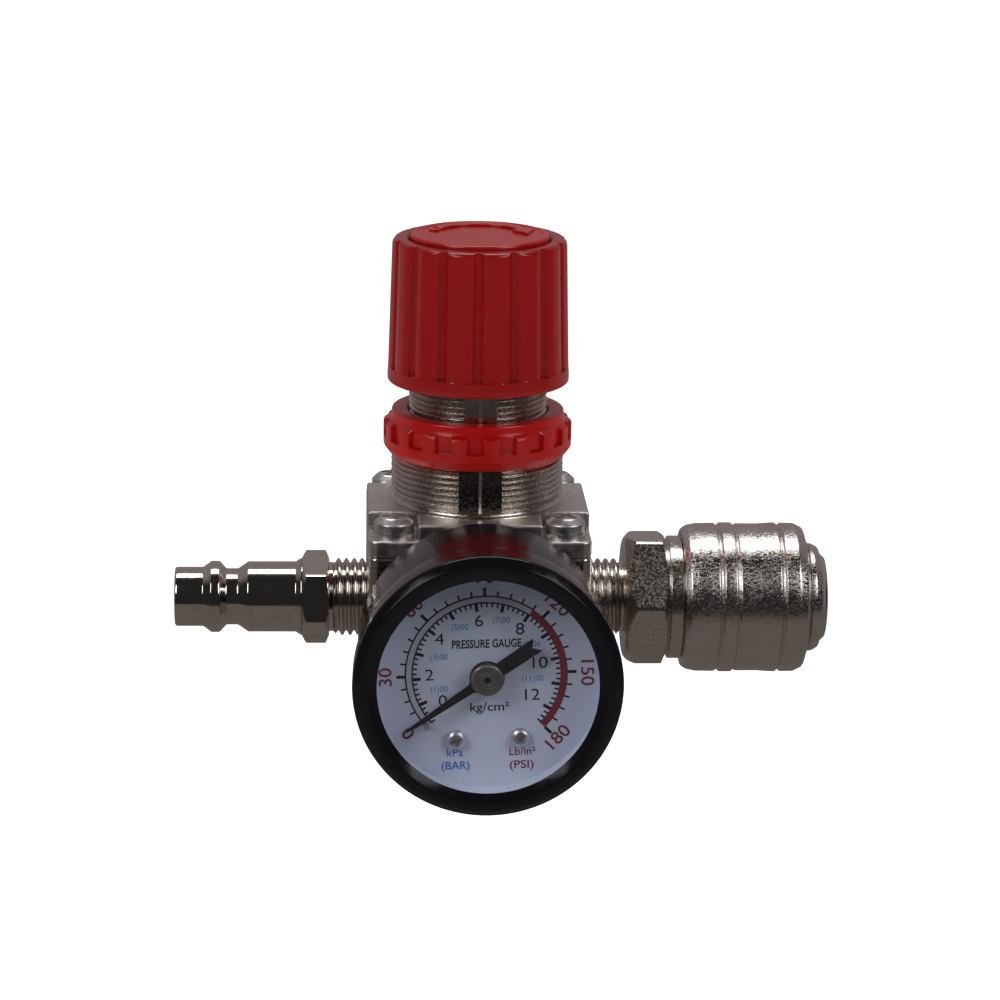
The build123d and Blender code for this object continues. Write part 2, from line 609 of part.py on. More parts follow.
VALVE_FLANGE = (36.6, 39.4)
with BuildPart() as coupler_valve:
    revolve(
        outline(
            SIDE, (VALVE_FLANGE[0], 0), (VALVE_FLANGE[0], 6.2), (VALVE_FLANGE[1], 6.2),
            (VALVE_FLANGE[1], 5.14), (48.4, 5.14), (48.8, 4.8), (48.8, 3.9), (39.4, 3.6), (38.4, 0),
        ),
        axis=Axis.X,
    )
    for port in range(4):
        bearing = math.radians(90 * port)
        side_port = Plane(origin=(42.6, 0, 0), z_dir=(0, math.cos(bearing), math.sin(bearing)))
        extrude(disc(side_port, 1.2), amount=6, mode=Mode.SUBTRACT)
save("coupler_valve", coupler_valve.part)

with BuildPart() as coupler_valve_seal:
    extrude(disc(across_x(VALVE_FLANGE[1]), 6.2, hole=5.16), amount=0.95)
save("coupler_valve_seal", coupler_valve_seal.part)

with BuildPart() as socket_seal:
    extrude(disc(across_x(BARREL_WEB[1] + 0.1), 6.95, hole=5.3), amount=SEAL_END - BARREL_WEB[1] - 0.2)
save("socket_seal", socket_seal.part)

# ================================================================ gauge: case and face
with BuildPart() as gauge_case:
    revolve(
        outline(
            GAUGE_SIDE, (CASE_BACK, 5.3), (CASE_BACK, CASE_R - 1.0), (CASE_BACK - 1.0, CASE_R),
            (-51.2, CASE_R), (-51.2, CASE_IN_R), (CASE_BACK - 1.0, CASE_IN_R), (CASE_BACK - 1.0, 5.3),
        ),
        axis=GAUGE_AXIS,
    )
save("gauge_case", gauge_case.part)

with BuildPart() as gauge_bezel:
    with BuildSketch(GAUGE_SIDE):
        with BuildLine():
            skirt = Polyline(
                (-52.95, WINDOW_R), (-52.95, CASE_R + 0.05), (-46.4, CASE_R + 0.05), (-46.4, BEZEL_R - 0.4),
                (-46.8, BEZEL_R), (-52.2, BEZEL_R),
            )
            outer_round = ThreePointArc(skirt @ 1, (-53.45, 20.75), (GAUGE_FRONT, 19.4))
            Spline(outer_round @ 1, (-53.6, 18.2), skirt @ 0)
        make_face()
    revolve(axis=GAUGE_AXIS)
save("gauge_bezel", gauge_bezel.part)

with BuildPart() as gauge_lens:
    extrude(disc(facing_front(-51.25), CASE_R - 0.05), amount=1.65)
save("gauge_lens", gauge_lens.part)

DIAL_T = 0.5
with BuildPart() as gauge_spacer:
    extrude(disc(facing_front(DIAL_Y), CASE_IN_R - 0.05, hole=18.5), amount=5.6)
save("gauge_spacer", gauge_spacer.part)

LEVEL = math.radians(DIAL_ROLL)
DIAL_SCREW_AT = (5.1, -10.5)             # on the dial, before it is rolled


def rolled(x, z):
    """A place on the dial after the gauge's roll."""
    return (x * math.cos(LEVEL) - z * math.sin(LEVEL), x * math.sin(LEVEL) + z * math.cos(LEVEL))


def on_dial(radius, degrees):
    """A place by radius and direction, counter-clockwise from +X as seen from the front."""
    bearing = math.radians(degrees)
    return (radius * math.cos(bearing), radius * math.sin(bearing))


SCREW_PLACES = [rolled(side * DIAL_SCREW_AT[0], DIAL_SCREW_AT[1]) for side in (-1, 1)]

with BuildPart() as gauge_dial:
    with BuildSketch(facing_front(DIAL_Y + DIAL_T)):
        Circle(DIAL_R)
        Circle(1.4, mode=Mode.SUBTRACT)
        with Locations(*SCREW_PLACES):
            Circle(1.0, mode=Mode.SUBTRACT)
        with Locations(on_dial(*STOP_PIN_AT)):
            Circle(0.52, mode=Mode.SUBTRACT)
    extrude(amount=DIAL_T)
save("gauge_dial", gauge_dial.part)

with BuildPart() as dial_screws:
    with BuildSketch(facing_front(-42.8)):
        with Locations(*SCREW_PLACES):
            Circle(0.9)
    extrude(amount=2.7)
    with BuildSketch(facing_front(DIAL_Y)):
        with Locations(*SCREW_PLACES):
            Circle(1.55)
    extrude(amount=1.3)
    fillet(dial_screws.faces().sort_by(Axis.Y)[:2].edges(), 0.5)
    with BuildSketch(facing_front(DIAL_Y - 0.7)):
        with Locations(*SCREW_PLACES):
            Rectangle(1.7, 0.35, rotation=20)
            Rectangle(0.35, 1.7, rotation=20)
    extrude(amount=2, mode=Mode.SUBTRACT)
save("dial_screws", dial_screws.part)

POINTER_Y = -47.3           # back face of the pointer
POINTER_T = 0.4
with BuildPart() as stop_pin:
    with BuildSketch(facing_front(-44.0)):
        with Locations(on_dial(*STOP_PIN_AT)):
            Circle(0.5)
    extrude(amount=4.6)
save("stop_pin", stop_pin.part)

# ================================================================ gauge: pointer and movement
with BuildPart() as pointer:
    with BuildSketch(facing_front(POINTER_Y)):
        with BuildLine():
            Polyline(
                (-POINTER_TIP, 0.12), (-13.5, 0.3), (-3.0, 0.72), (0, 1.1), (POINTER_TAIL, 1.2),
                (POINTER_TAIL - 1.0, 0), (POINTER_TAIL, -1.2), (0, -1.1), (-3.0, -0.72), (-13.5, -0.3),
                (-POINTER_TIP, -0.12), close=True,
            )
        make_face()
        Circle(HUB_R + 0.18)
        Circle(ARBOR_R + 0.02, mode=Mode.SUBTRACT)
    extrude(amount=POINTER_T)
turned_pointer = pointer.part.rotate(GAUGE_AXIS, -(POINTER_REST - 180))
save("pointer", turned_pointer)

with BuildPart() as pointer_hub:
    extrude(disc(facing_front(POINTER_Y - POINTER_T), HUB_R), amount=1.2)
    fillet(pointer_hub.faces().sort_by(Axis.Y)[0].edges(), 0.4)
save("pointer_hub", pointer_hub.part)

PINION_R = GEAR_MODULE * PINION_TEETH / 2
SECTOR_R = GEAR_MODULE * SECTOR_TEETH / 2
TOOTH_PITCH = math.pi * GEAR_MODULE
TOOTH_WIDE = TOOTH_PITCH / 2 - TOOTH_ROOM / 2


def bar(start, end, wide):
    """A round-ended bar between two places, for the open sketch."""
    length = math.dist(start, end)
    lean = math.degrees(math.atan2(end[1] - start[1], end[0] - start[0]))
    middle = ((start[0] + end[0]) / 2, (start[1] + end[1]) / 2)
    with BuildSketch(mode=Mode.PRIVATE) as drawn:
        with Locations(middle):
            SlotCenterToCenter(length, wide, rotation=lean)
    return drawn.sketch


def tooth(radius, degrees, centre=(0, 0)):
    """One straight-sided gear tooth, drawn into the open sketch."""
    high, low = radius + GEAR_MODULE * 0.85, radius - GEAR_MODULE * 1.3
    foot, tip = TOOTH_WIDE * 0.62, TOOTH_WIDE * 0.28
    corners = ((low, -foot), (high, -tip), (high, tip), (low, foot))
    bearing = math.radians(degrees)
    turned = [
        (centre[0] + x * math.cos(bearing) - y * math.sin(bearing),
         centre[1] + x * math.sin(bearing) + y * math.cos(bearing))
        for x, y in corners
    ]
    with BuildSketch(mode=Mode.PRIVATE) as drawn:
        with BuildLine():
            Polyline(*turned, close=True)
        make_face()
    return drawn.sketch


GEAR_BACK, GEAR_T = -40.6, 1.2
PINION_STEP = 360 / PINION_TEETH
with BuildPart() as pinion_arbor:
    extrude(disc(facing_front(-38.0), ARBOR_R), amount=9.6)
    with BuildSketch(facing_front(GEAR_BACK + 0.3)):
        Circle(PINION_R - GEAR_MODULE * 1.2)
        for number in range(PINION_TEETH):
            add(tooth(PINION_R, -90 + PINION_STEP * (number + 0.5)))
    extrude(amount=GEAR_T + 0.6)
save("pinion_arbor", pinion_arbor.part)

SECTOR_STEP = 360 / SECTOR_TEETH
SWING_TEETH = 7                           # the pointer's whole travel takes a little over seven teeth
PIVOT = (0, SECTOR_PIVOT_Z)
LINK_FROM = (-3.0, SECTOR_PIVOT_Z)
with BuildPart() as sector_gear:
    with BuildSketch(facing_front(GEAR_BACK)):
        arc_low = 90 - SECTOR_STEP * (SWING_TEETH + 2)
        arc_high = 90 + SECTOR_STEP * 1.6
        rim_r = SECTOR_R - GEAR_MODULE * 1.2
        with BuildLine():
            rim = CenterArc(PIVOT, rim_r, arc_low, arc_high - arc_low)
            Polyline(rim @ 0, (0.9, SECTOR_PIVOT_Z), (-0.9, SECTOR_PIVOT_Z), rim @ 1)
        make_face()
        with Locations(PIVOT):
            Circle(1.6)
        with Locations((-1.5, SECTOR_PIVOT_Z)):
            Rectangle(3.0, 1.2)
        with Locations(LINK_FROM):
            Circle(0.8)
        for number in range(-1, SWING_TEETH + 2):
            add(tooth(SECTOR_R, 90 - SECTOR_STEP * number, PIVOT))
    extrude(amount=GEAR_T)
    with BuildSketch(facing_front(-38.0)):
        with Locations(PIVOT):
            Circle(0.7)
    extrude(amount=5.2)
    with BuildSketch(facing_front(GEAR_BACK + 0.9)):
        with Locations(LINK_FROM):
            Circle(0.4)
    extrude(amount=1)
save("sector_gear", sector_gear.part)

LINK_TO = (-12.0, SECTOR_PIVOT_Z)
with BuildPart() as link:
    with BuildSketch(facing_front(GEAR_BACK + 0.75)):
        add(bar(LINK_FROM, LINK_TO, 1.4))
        with Locations(LINK_FROM, LINK_TO):
            Circle(0.4 + RUNNING, mode=Mode.SUBTRACT)
    extrude(amount=0.6)
save("link", link.part)

MOVEMENT_PLATES = {"movement_front_plate": -42.6, "movement_back_plate": -37.8}
PILLARS = [(-6.3, 2.2), (6.3, 2.2), (-5.6, -16.0), (5.6, -16.0)]
for plate_name, plate_back in MOVEMENT_PLATES.items():
    with BuildPart() as movement_plate:
        with BuildSketch(facing_front(plate_back)):
            with BuildLine():
                Polyline((-8.0, 4.2), (8.0, 4.2), (7.4, -17.4), (-7.4, -17.4), close=True)
            make_face()
            Circle(ARBOR_R + RUNNING, mode=Mode.SUBTRACT)
            with Locations(PIVOT):
                Circle(0.7 + RUNNING, mode=Mode.SUBTRACT)
            if plate_name == "movement_front_plate":
                with Locations(*SCREW_PLACES):
                    Circle(0.92, mode=Mode.SUBTRACT)
        extrude(amount=0.8)
    save(plate_name, movement_plate.part)

with BuildPart() as movement_pillars:
    with BuildSketch(facing_front(-38.6)):
        with Locations(*PILLARS):
            Circle(0.9)
    extrude(amount=4.0)
save("movement_pillars", movement_pillars.part)

TUBE_R = 14.0
TUBE_Y = -33.8
TUBE_FIXED, TUBE_TIP = -60.0, 222.0       # directions of the tube's two ends
with BuildPart() as bourdon_tube:
    outward = (math.cos(math.radians(TUBE_FIXED)), 0, math.sin(math.radians(TUBE_FIXED)))
    first_end = Plane(origin=(0, TUBE_Y, GAUGE_Z), x_dir=outward, z_dir=(-outward[2], 0, outward[0]))
    with BuildSketch(first_end):
        with Locations((TUBE_R, 0)):
            SlotOverall(4.6, 1.6, rotation=90)
            SlotOverall(3.8, 0.9, rotation=90, mode=Mode.SUBTRACT)
    revolve(axis=Axis((0, 0, GAUGE_Z), (0, -1, 0)), revolution_arc=TUBE_TIP - TUBE_FIXED)
save("bourdon_tube", bourdon_tube.part)

with BuildPart() as gauge_stem:
    # thread, wrench square, neck through the case's back, and the block that holds tube and movement
    extrude(disc(facing_front(-10.5), 4.85), amount=10.0)
    with BuildSketch(facing_front(-20.0)):
        Rectangle(11, 11)
    extrude(amount=7.2)
    extrude(disc(facing_front(-27.2), 5.2), amount=4.4)
    with BuildSketch(facing_front(-31.0)):
        add(bar((0, 0), on_dial(TUBE_R - 2.4, TUBE_FIXED), 6.4))
    extrude(amount=5.5)
    extrude(disc(facing_front(-36.5), 4.4), amount=1.3)
    extrude(disc(facing_front(-10.5), 1.5), amount=22, mode=Mode.SUBTRACT)
save("gauge_stem", gauge_stem.part)

with BuildPart() as tube_tip:
    with BuildSketch(facing_front(-36.2)):
        add(bar(on_dial(TUBE_R, TUBE_TIP + 1), LINK_TO, 1.8))
    extrude(amount=3.0)
save("tube_tip", tube_tip.part)
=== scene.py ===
"""Looks of an air pressure regulator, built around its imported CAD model.

Millimetres inside the script, metres in the meshes. The air line runs along X, the knob stands along +Z and
the gauge faces -Y, as in the CAD model.
"""

import json
import math

import bmesh
import bpy
import numpy as np
from mathutils import Matrix, Vector


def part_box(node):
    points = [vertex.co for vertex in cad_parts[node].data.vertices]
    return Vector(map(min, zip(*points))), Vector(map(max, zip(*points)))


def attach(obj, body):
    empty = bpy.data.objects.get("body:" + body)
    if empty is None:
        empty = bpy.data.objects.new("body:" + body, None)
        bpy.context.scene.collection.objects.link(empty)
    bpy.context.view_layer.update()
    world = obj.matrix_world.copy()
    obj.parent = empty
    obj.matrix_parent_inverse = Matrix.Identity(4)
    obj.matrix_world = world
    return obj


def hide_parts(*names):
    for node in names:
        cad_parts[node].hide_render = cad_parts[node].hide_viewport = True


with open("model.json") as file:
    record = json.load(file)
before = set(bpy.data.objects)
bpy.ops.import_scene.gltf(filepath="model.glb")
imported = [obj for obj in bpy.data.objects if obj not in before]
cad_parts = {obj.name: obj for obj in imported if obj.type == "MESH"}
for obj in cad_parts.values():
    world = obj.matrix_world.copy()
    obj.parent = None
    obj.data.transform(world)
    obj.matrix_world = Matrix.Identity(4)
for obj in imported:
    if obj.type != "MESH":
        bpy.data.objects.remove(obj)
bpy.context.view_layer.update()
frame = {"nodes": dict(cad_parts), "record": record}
nodes = frame["nodes"]
MM = 0.001


# ================================================================ places, from the frame
def span(node, axis):
    """Where a CAD node begins and ends along an axis, in millimetres."""
    low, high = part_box(node)
    return low["XYZ".index(axis)] / MM, high["XYZ".index(axis)] / MM


BODY_HALF = span("body", "X")[1]
BODY_BOTTOM, SPLIT_Z = span("body", "Z")
NECK_TOP = span("bonnet", "Z")[1]
RING_BOTTOM, RING_TOP = span("lock_ring", "Z")
RING_R = span("lock_ring", "X")[1]
KNOB_BOTTOM, KNOB_TOP = span("knob", "Z")
KNOB_R = span("knob", "X")[1]
CAP_BOTTOM, CAP_TOP = span("knob_cap", "Z")
CAP_R = span("knob_cap", "X")[1]
NOSE_END, PLUG_END = span("inlet_plug", "X")
ADAPTER_START, ADAPTER_END = span("coupler_adapter", "X")
SLEEVE_START, SLEEVE_END = span("coupler_sleeve", "X")
SLEEVE_R = span("coupler_sleeve", "Z")[1]
STOP_START, STOP_END = span("sleeve_stop", "X")
STOP_R = span("sleeve_stop", "Z")[1]
BARREL_START, BARREL_END = span("coupler_barrel", "X")
PLUG_BOTTOM = span("bottom_plug", "Z")[0]
BEZEL_FRONT, BEZEL_BACK = span("gauge_bezel", "Y")
BEZEL_R = span("gauge_bezel", "X")[1]
GAUGE_Z = sum(span("gauge_bezel", "Z")) / 2
CASE_FRONT, CASE_BACK = span("gauge_case", "Y")
CASE_R = span("gauge_case", "X")[1]
LENS_FRONT, LENS_BACK = span("gauge_lens", "Y")
LENS_R = span("gauge_lens", "X")[1]
DIAL_Y = span("gauge_dial", "Y")[0]
HUB_FRONT, HUB_BACK = span("pointer_hub", "Y")
HUB_R = span("pointer_hub", "X")[1]
POINTER_FRONT, POINTER_BACK = span("pointer", "Y")
SCREW_TOP = span("bonnet_screws", "Z")[1]

FLANGE_TOP = 17.6           # top of the bonnet's square foot
SCREW_SEAT = 14.8           # floor of the notches in its corners
SCREW_AT = 14.25            # the bonnet screws' distance from the knob's axis, along X and along Y
CORNERS = [(x, y) for x in (-1, 1) for y in (-1, 1)]
DIAL_ROLL = math.radians(2.0)
POINTER_TURN = math.radians(215.2)


# ================================================================ finishes
def feed(tree, socket, value):
    """Links something to a socket, or sets the socket to a constant."""
    if isinstance(value, bpy.types.NodeSocket):
        tree.links.new(value, socket)
    else:
        socket.default_value = value


def add_node(tree, kind, inputs, **settings):
    """Adds a shader node to a tree, with its inputs set or linked."""
    made = tree.nodes.new("ShaderNode" + kind)
    for setting, value in settings.items():
        setattr(made, setting, value)
    for socket, value in inputs.items():
        feed(tree, made.inputs[socket], value)
    return made


class Finish:
    """One procedural material while it is being put together."""

    def __init__(self, name, color, metallic, roughness, **settings):
        self.material = bpy.data.materials.new(name)
        self.material.use_nodes = True
        self.material.diffuse_color = (*color, 1.0)
        self.tree = self.material.node_tree
        self.shader = self.tree.nodes["Principled BSDF"]
        self.put("Base Color", (*color, 1.0))
        self.put("Metallic", metallic)
        self.put("Roughness", roughness)
        for socket, value in settings.items():
            self.put(socket.replace("_", " "), value)
        self.place = self.tree.nodes.new("ShaderNodeTexCoord").outputs["Object"]

    def put(self, socket, value):
        """Sets a socket of the shader, or links something to it."""
        feed(self.tree, self.shader.inputs[socket], value)

    def node(self, kind, inputs, **settings):
        """Adds a node to this material."""
        return add_node(self.tree, kind, inputs, **settings)

    def stretched(self, size, stretch):
        """Places on the piece in units of size millimetres, drawn out along an axis by stretch."""
        scale = tuple(1 / (size * MM * part) for part in stretch)
        return self.node("Mapping", {"Vector": self.place, "Scale": scale}).outputs["Vector"]

    def noise(self, size, detail, stretch=(1, 1, 1), rough=0.55):
        """Cloudy variation; size is that of one patch in millimetres."""
        cloud = self.node("TexNoise", {
            "Vector": self.stretched(size, stretch), "Scale": 1.0, "Detail": detail, "Roughness": rough,
        })
        return cloud.outputs["Fac"]

    def pits(self, size, stretch=(1, 1, 1)):
        """Distance from scattered points: small dents, or scratches when stretched."""
        cells = self.node("TexVoronoi", {
            "Vector": self.stretched(size, stretch), "Scale": 1.0, "Randomness": 1.0,
        })
        return cells.outputs["Distance"]

    def fit(self, value, low, high, to_low=0.0, to_high=1.0):
        """Takes a value from one range into another, held at both ends."""
        fitted = self.node("MapRange", {
            "Value": value, "From Min": low, "From Max": high, "To Min": to_low, "To Max": to_high,
        })
        return fitted.outputs["Result"]

    def blend(self, share, first, second):
        """A colour between two colours."""
        mixed = self.node("Mix", {"Factor": share}, data_type="RGBA")
        for name, color in (("A", first), ("B", second)):
            target = [socket for socket in mixed.inputs if socket.name == name and socket.type == "RGBA"][0]
            target.default_value = (*color, 1.0)
        return [socket for socket in mixed.outputs if socket.type == "RGBA"][0]

    def product(self, first, second):
        """Two values multiplied."""
        return self.node("Math", {0: first, 1: second}, operation="MULTIPLY").outputs["Value"]

    def mottle(self, size, detail, smoothest, roughest, low=0.3):
        """Roughness that varies in patches of size millimetres."""
        self.put("Roughness", self.fit(self.noise(size, detail), low, 0.7, smoothest, roughest))

    def relief(self, *layers):
        """Bumps laid over each other; each layer is a height from 0 to 1 and its depth in millimetres."""
        normal = None
        for height, depth in layers:
            inputs = {"Height": height, "Distance": depth * MM, "Strength": 1.0}
            if normal is not None:
                inputs["Normal"] = normal
            normal = self.node("Bump", inputs).outputs["Normal"]
        self.put("Normal", normal)


def nickel_cast():
    """Nickel plate over a die casting: bright, with waves, a fine grain and small dents."""
    made = Finish("nickel_cast", (0.62, 0.585, 0.555), 1.0, 0.2)
    grain = made.noise(0.22, 4)
    waves = made.noise(3.2, 2)
    dents = made.fit(made.pits(0.9), 0.0, 0.22)
    stain = made.fit(made.noise(5.5, 4), 0.42, 0.68)
    made.put("Base Color", made.blend(stain, (0.66, 0.63, 0.6), (0.5, 0.45, 0.4)))
    made.mottle(1.3, 5, 0.13, 0.34)
    made.relief((waves, 0.05), (dents, 0.012), (grain, 0.006))
    return made.material


def nickel_cut():
    """Nickel plate over cut threads and milled flats: smooth, with a fine speckle and rubbed patches."""
    made = Finish("nickel_cut", (0.6, 0.56, 0.52), 1.0, 0.18)
    rubbed = made.fit(made.noise(0.5, 6, rough=0.8), 0.46, 0.66)
    scratches = made.fit(made.pits(0.5, stretch=(0.3, 0.3, 3.0)), 0.0, 0.16, 1.0, 0.0)
    made.put("Base Color", made.blend(rubbed, (0.64, 0.6, 0.56), (0.5, 0.44, 0.38)))
    made.put("Roughness", made.fit(rubbed, 0.0, 1.0, 0.14, 0.4))
    made.relief((made.noise(4.5, 1), 0.012), (scratches, 0.012), (rubbed, 0.006))
    return made.material


def hub_plate():
    """Dull turned plate on the pointer's hub."""
    made = Finish("hub_dull", (0.22, 0.205, 0.185), 1.0, 0.42)
    made.mottle(0.5, 4, 0.36, 0.5)
    made.relief((made.noise(0.12, 3), 0.003))
    return made.material


def nickel_satin():
    """The casting's top faces, left rougher by the mould."""
    made = Finish("nickel_satin", (0.6, 0.56, 0.54), 1.0, 0.4)
    made.mottle(1.6, 4, 0.3, 0.48)
    made.relief((made.noise(2.4, 2), 0.05), (made.noise(0.3, 5), 0.02))
    return made.material


def nickel_turned():
    """Nickel plate over turned steel: lathe lines run round the air line, with rubbed and spotted patches."""
    made = Finish("nickel_turned", (0.64, 0.6, 0.57), 1.0, 0.12)
    lines = made.noise(0.05, 2, stretch=(1, 400, 400))
    specks = made.fit(made.pits(0.55), 0.0, 0.18, 1.0, 0.0)
    rubbed = made.fit(made.noise(2.6, 6, rough=0.7), 0.5, 0.72)
    made.put("Base Color", made.blend(rubbed, (0.66, 0.625, 0.59), (0.56, 0.5, 0.45)))
    made.put("Roughness", made.fit(rubbed, 0.0, 1.0, 0.09, 0.2))
    made.relief((lines, 0.0012), (made.product(specks, rubbed), 0.004), (made.noise(1.4, 2), 0.004))
    return made.material


def nickel_sleeve():
    """The coupler's sleeve: the same plate, tumbled, with more marks from handling."""
    made = Finish("nickel_sleeve", (0.64, 0.6, 0.57), 1.0, 0.2)
    lines = made.noise(0.06, 2, stretch=(1, 400, 400))
    specks = made.fit(made.pits(0.4), 0.0, 0.25, 1.0, 0.0)
    scuffs = made.fit(made.noise(0.3, 6, stretch=(2.0, 1, 1), rough=0.8), 0.47, 0.64)
    worn = made.product(scuffs, made.fit(made.noise(3.2, 4), 0.36, 0.6, 0.3, 1.0))
    made.put("Base Color", made.blend(worn, (0.66, 0.625, 0.59), (0.6, 0.56, 0.54)))
    made.put("Roughness", made.fit(worn, 0.0, 1.0, 0.12, 0.46))
    waves = made.noise(2.4, 2)
    made.relief((lines, 0.0015), (made.product(specks, worn), 0.016), (scuffs, 0.009), (waves, 0.02))
    return made.material


def zinc():
    """Bright zinc plate on screws and washers."""
    made = Finish("zinc_bright", (0.6, 0.6, 0.6), 1.0, 0.34)
    made.mottle(0.7, 4, 0.28, 0.46)
    made.relief((made.noise(0.25, 3), 0.004), (made.fit(made.pits(0.35), 0.0, 0.2), 0.004))
    return made.material


def red_plastic(name, color):
    """Glossy moulded plastic, with a slight orange peel and faint fingerprints."""
    made = Finish(name, color, 0.0, 0.2, Specular_IOR_Level=0.5)
    cloud = made.noise(9.0, 2)
    made.put("Base Color", made.blend(cloud, color, tuple(part * 0.86 for part in color)))
    made.mottle(3.5, 3, 0.17, 0.23, low=0.35)
    made.relief((made.noise(2.6, 1), 0.004), (made.noise(0.15, 2), 0.0006))
    return made.material


def black_enamel():
    """Gloss black enamel on pressed steel, with dust specks and a soft orange peel."""
    made = Finish("black_gloss", (0.006, 0.006, 0.007), 0.0, 0.14, IOR=1.27)
    dust = made.fit(made.pits(1.1), 0.0, 0.05, 1.0, 0.0)
    made.put("Base Color", made.blend(dust, (0.005, 0.005, 0.0065), (0.03, 0.03, 0.032)))
    made.mottle(2.2, 4, 0.1, 0.22, low=0.35)
    made.relief((made.noise(1.6, 2), 0.006), (dust, 0.004))
    return made.material


def enamel(name, color, rough, shine=0.4):
    """Printed or sprayed enamel, very slightly mottled."""
    made = Finish(name, color, 0.0, rough, Specular_IOR_Level=shine)
    darker = tuple(part * 0.93 for part in color)
    made.put("Base Color", made.blend(made.noise(1.5, 3), color, darker))
    made.mottle(0.8, 3, rough * 0.85, rough * 1.2)
    made.relief((made.noise(0.18, 2), 0.0015))
    return made.material


def clear_lens():
    """Clear moulded window. Light that only passes through it, on its way to the dial, isn't bent."""
    tint = (0.93, 0.95, 0.985)
    made = Finish("clear_window", tint, 0.0, 0.02, Transmission_Weight=1.0, IOR=1.45)
    made.mottle(5.0, 3, 0.012, 0.03, low=0.4)
    through = made.node("BsdfTransparent", {"Color": (*tint, 1.0)})
    ray = made.node("LightPath", {})
    mixed = made.node("MixShader", {0: ray.outputs["Is Shadow Ray"]})
    made.tree.links.new(made.shader.outputs["BSDF"], mixed.inputs[1])
    made.tree.links.new(through.outputs["BSDF"], mixed.inputs[2])
    made.tree.links.new(mixed.outputs["Shader"], made.tree.nodes["Material Output"].inputs["Surface"])
    return made.material


def brass():
    """Turned and stamped brass, lightly tarnished."""
    made = Finish("brass_plain", (0.7, 0.5, 0.22), 1.0, 0.24)
    dull = made.fit(made.noise(2.0, 4), 0.4, 0.7)
    made.put("Base Color", made.blend(dull, (0.74, 0.54, 0.25), (0.5, 0.34, 0.15)))
    made.put("Roughness", made.fit(dull, 0.0, 1.0, 0.18, 0.38))
    made.relief((made.noise(0.3, 3), 0.004))
    return made.material


def spring_steel():
    """Drawn wire and hardened steel."""
    made = Finish("steel_drawn", (0.5, 0.5, 0.51), 1.0, 0.28)
    made.mottle(0.8, 4, 0.2, 0.38)
    made.relief((made.noise(0.08, 2), 0.002))
    return made.material


def rubber():
    """Black nitrile rubber with a matt bloom."""
    made = Finish("rubber_black", (0.018, 0.018, 0.018), 0.0, 0.65)
    bloom = made.fit(made.noise(1.4, 4), 0.4, 0.75)
    made.put("Base Color", made.blend(bloom, (0.014, 0.014, 0.014), (0.04, 0.04, 0.042)))
    made.relief((made.noise(0.15, 3), 0.004))
    return made.material


CAST, SATIN, CUT = nickel_cast(), nickel_satin(), nickel_cut()
TURNED, SLEEVE_PLATE = nickel_turned(), nickel_sleeve()
ZINC, HUB_PLATE, BRASS, STEEL = zinc(), hub_plate(), brass(), spring_steel()
RED = red_plastic("red_moulded", (0.42, 0.006, 0.005))
# The knob shell is the same plastic as the lock ring. Its darker red is painted shade, which keeps its
# lamp-lit sides as dark as the ring.
SHADED_RED = red_plastic("red_painted_shade", (0.27, 0.0035, 0.003))
BLACK, LENS, RUBBER = black_enamel(), clear_lens(), rubber()
# The dial's and the spacer's white are darkened and tinted blue. This is painted shade, standing for the
# shade and tint that the lens puts over them.
DIAL_SHADED = enamel("dial_enamel_painted_shade", (0.56, 0.58, 0.68), 0.3)
SPACER_SHADED = enamel("spacer_white_painted_shade", (0.62, 0.64, 0.74), 0.3)
POINTER_BLACK = enamel("pointer_satin", (0.004, 0.004, 0.005), 0.5, shine=0.2)
INK_BLACK = enamel("ink_black", (0.005, 0.005, 0.009), 0.5, shine=0.15)
INK_RED = enamel("ink_red", (0.2, 0.018, 0.026), 0.4)
INK_BLUE = enamel("ink_blue", (0.02, 0.15, 0.44), 0.4)
INK_GREY = enamel("ink_grey", (0.47, 0.47, 0.53), 0.4)

FINISH_OF_SLOT = {
    "nickel_casting": CAST, "nickel_turned": TURNED, "zinc_fastener": ZINC, "red_plastic": RED,
    "black_enamel": BLACK, "clear_lens": LENS, "dial_white": DIAL_SHADED, "white_plastic": SPACER_SHADED,
    "pointer_black": POINTER_BLACK, "brass": BRASS, "spring_steel": STEEL, "black_rubber": RUBBER,
}
for subpart in frame["record"]["subparts"]:
    node_mesh = nodes[subpart["node"]].data
    node_mesh.materials.clear()
    node_mesh.materials.append(FINISH_OF_SLOT[subpart["material_slot"]])


# ================================================================ mesh helpers
SMOOTH_BELOW = math.radians(34)     # edges flatter than this are shaded smooth
BEVEL_ABOVE = math.radians(40)      # edges sharper than this take a bevel
WELD = 1e-6
ALMOST = 1e-9                       # how far a round shape's seam stops short of a whole turn


def piece(name, mesh, body, slot, finish, *replaced):
    """Makes an object of a finished mesh, puts it on the body it rides on, and hides the CAD parts it stands
    in for.
    """
    mesh.materials.clear()
    mesh.materials.append(finish)
    made = bpy.data.objects.new(name, mesh)
    bpy.context.scene.collection.objects.link(made)
    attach(made, body)
    if replaced:
        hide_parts(*replaced)
    return made


def tidy_mesh(mesh):
    """Welds doubled points, turns the faces outwards and smooths all but the sharp edges."""
    work = bmesh.new()
    work.from_mesh(mesh)
    bmesh.ops.remove_doubles(work, verts=work.verts, dist=WELD)
    bmesh.ops.dissolve_degenerate(work, edges=work.edges, dist=WELD)
    bmesh.ops.recalc_face_normals(work, faces=work.faces)
    work.to_mesh(mesh)
    work.free()
    mesh.shade_smooth()
    mesh.set_sharp_from_angle(angle=SMOOTH_BELOW)
    return mesh


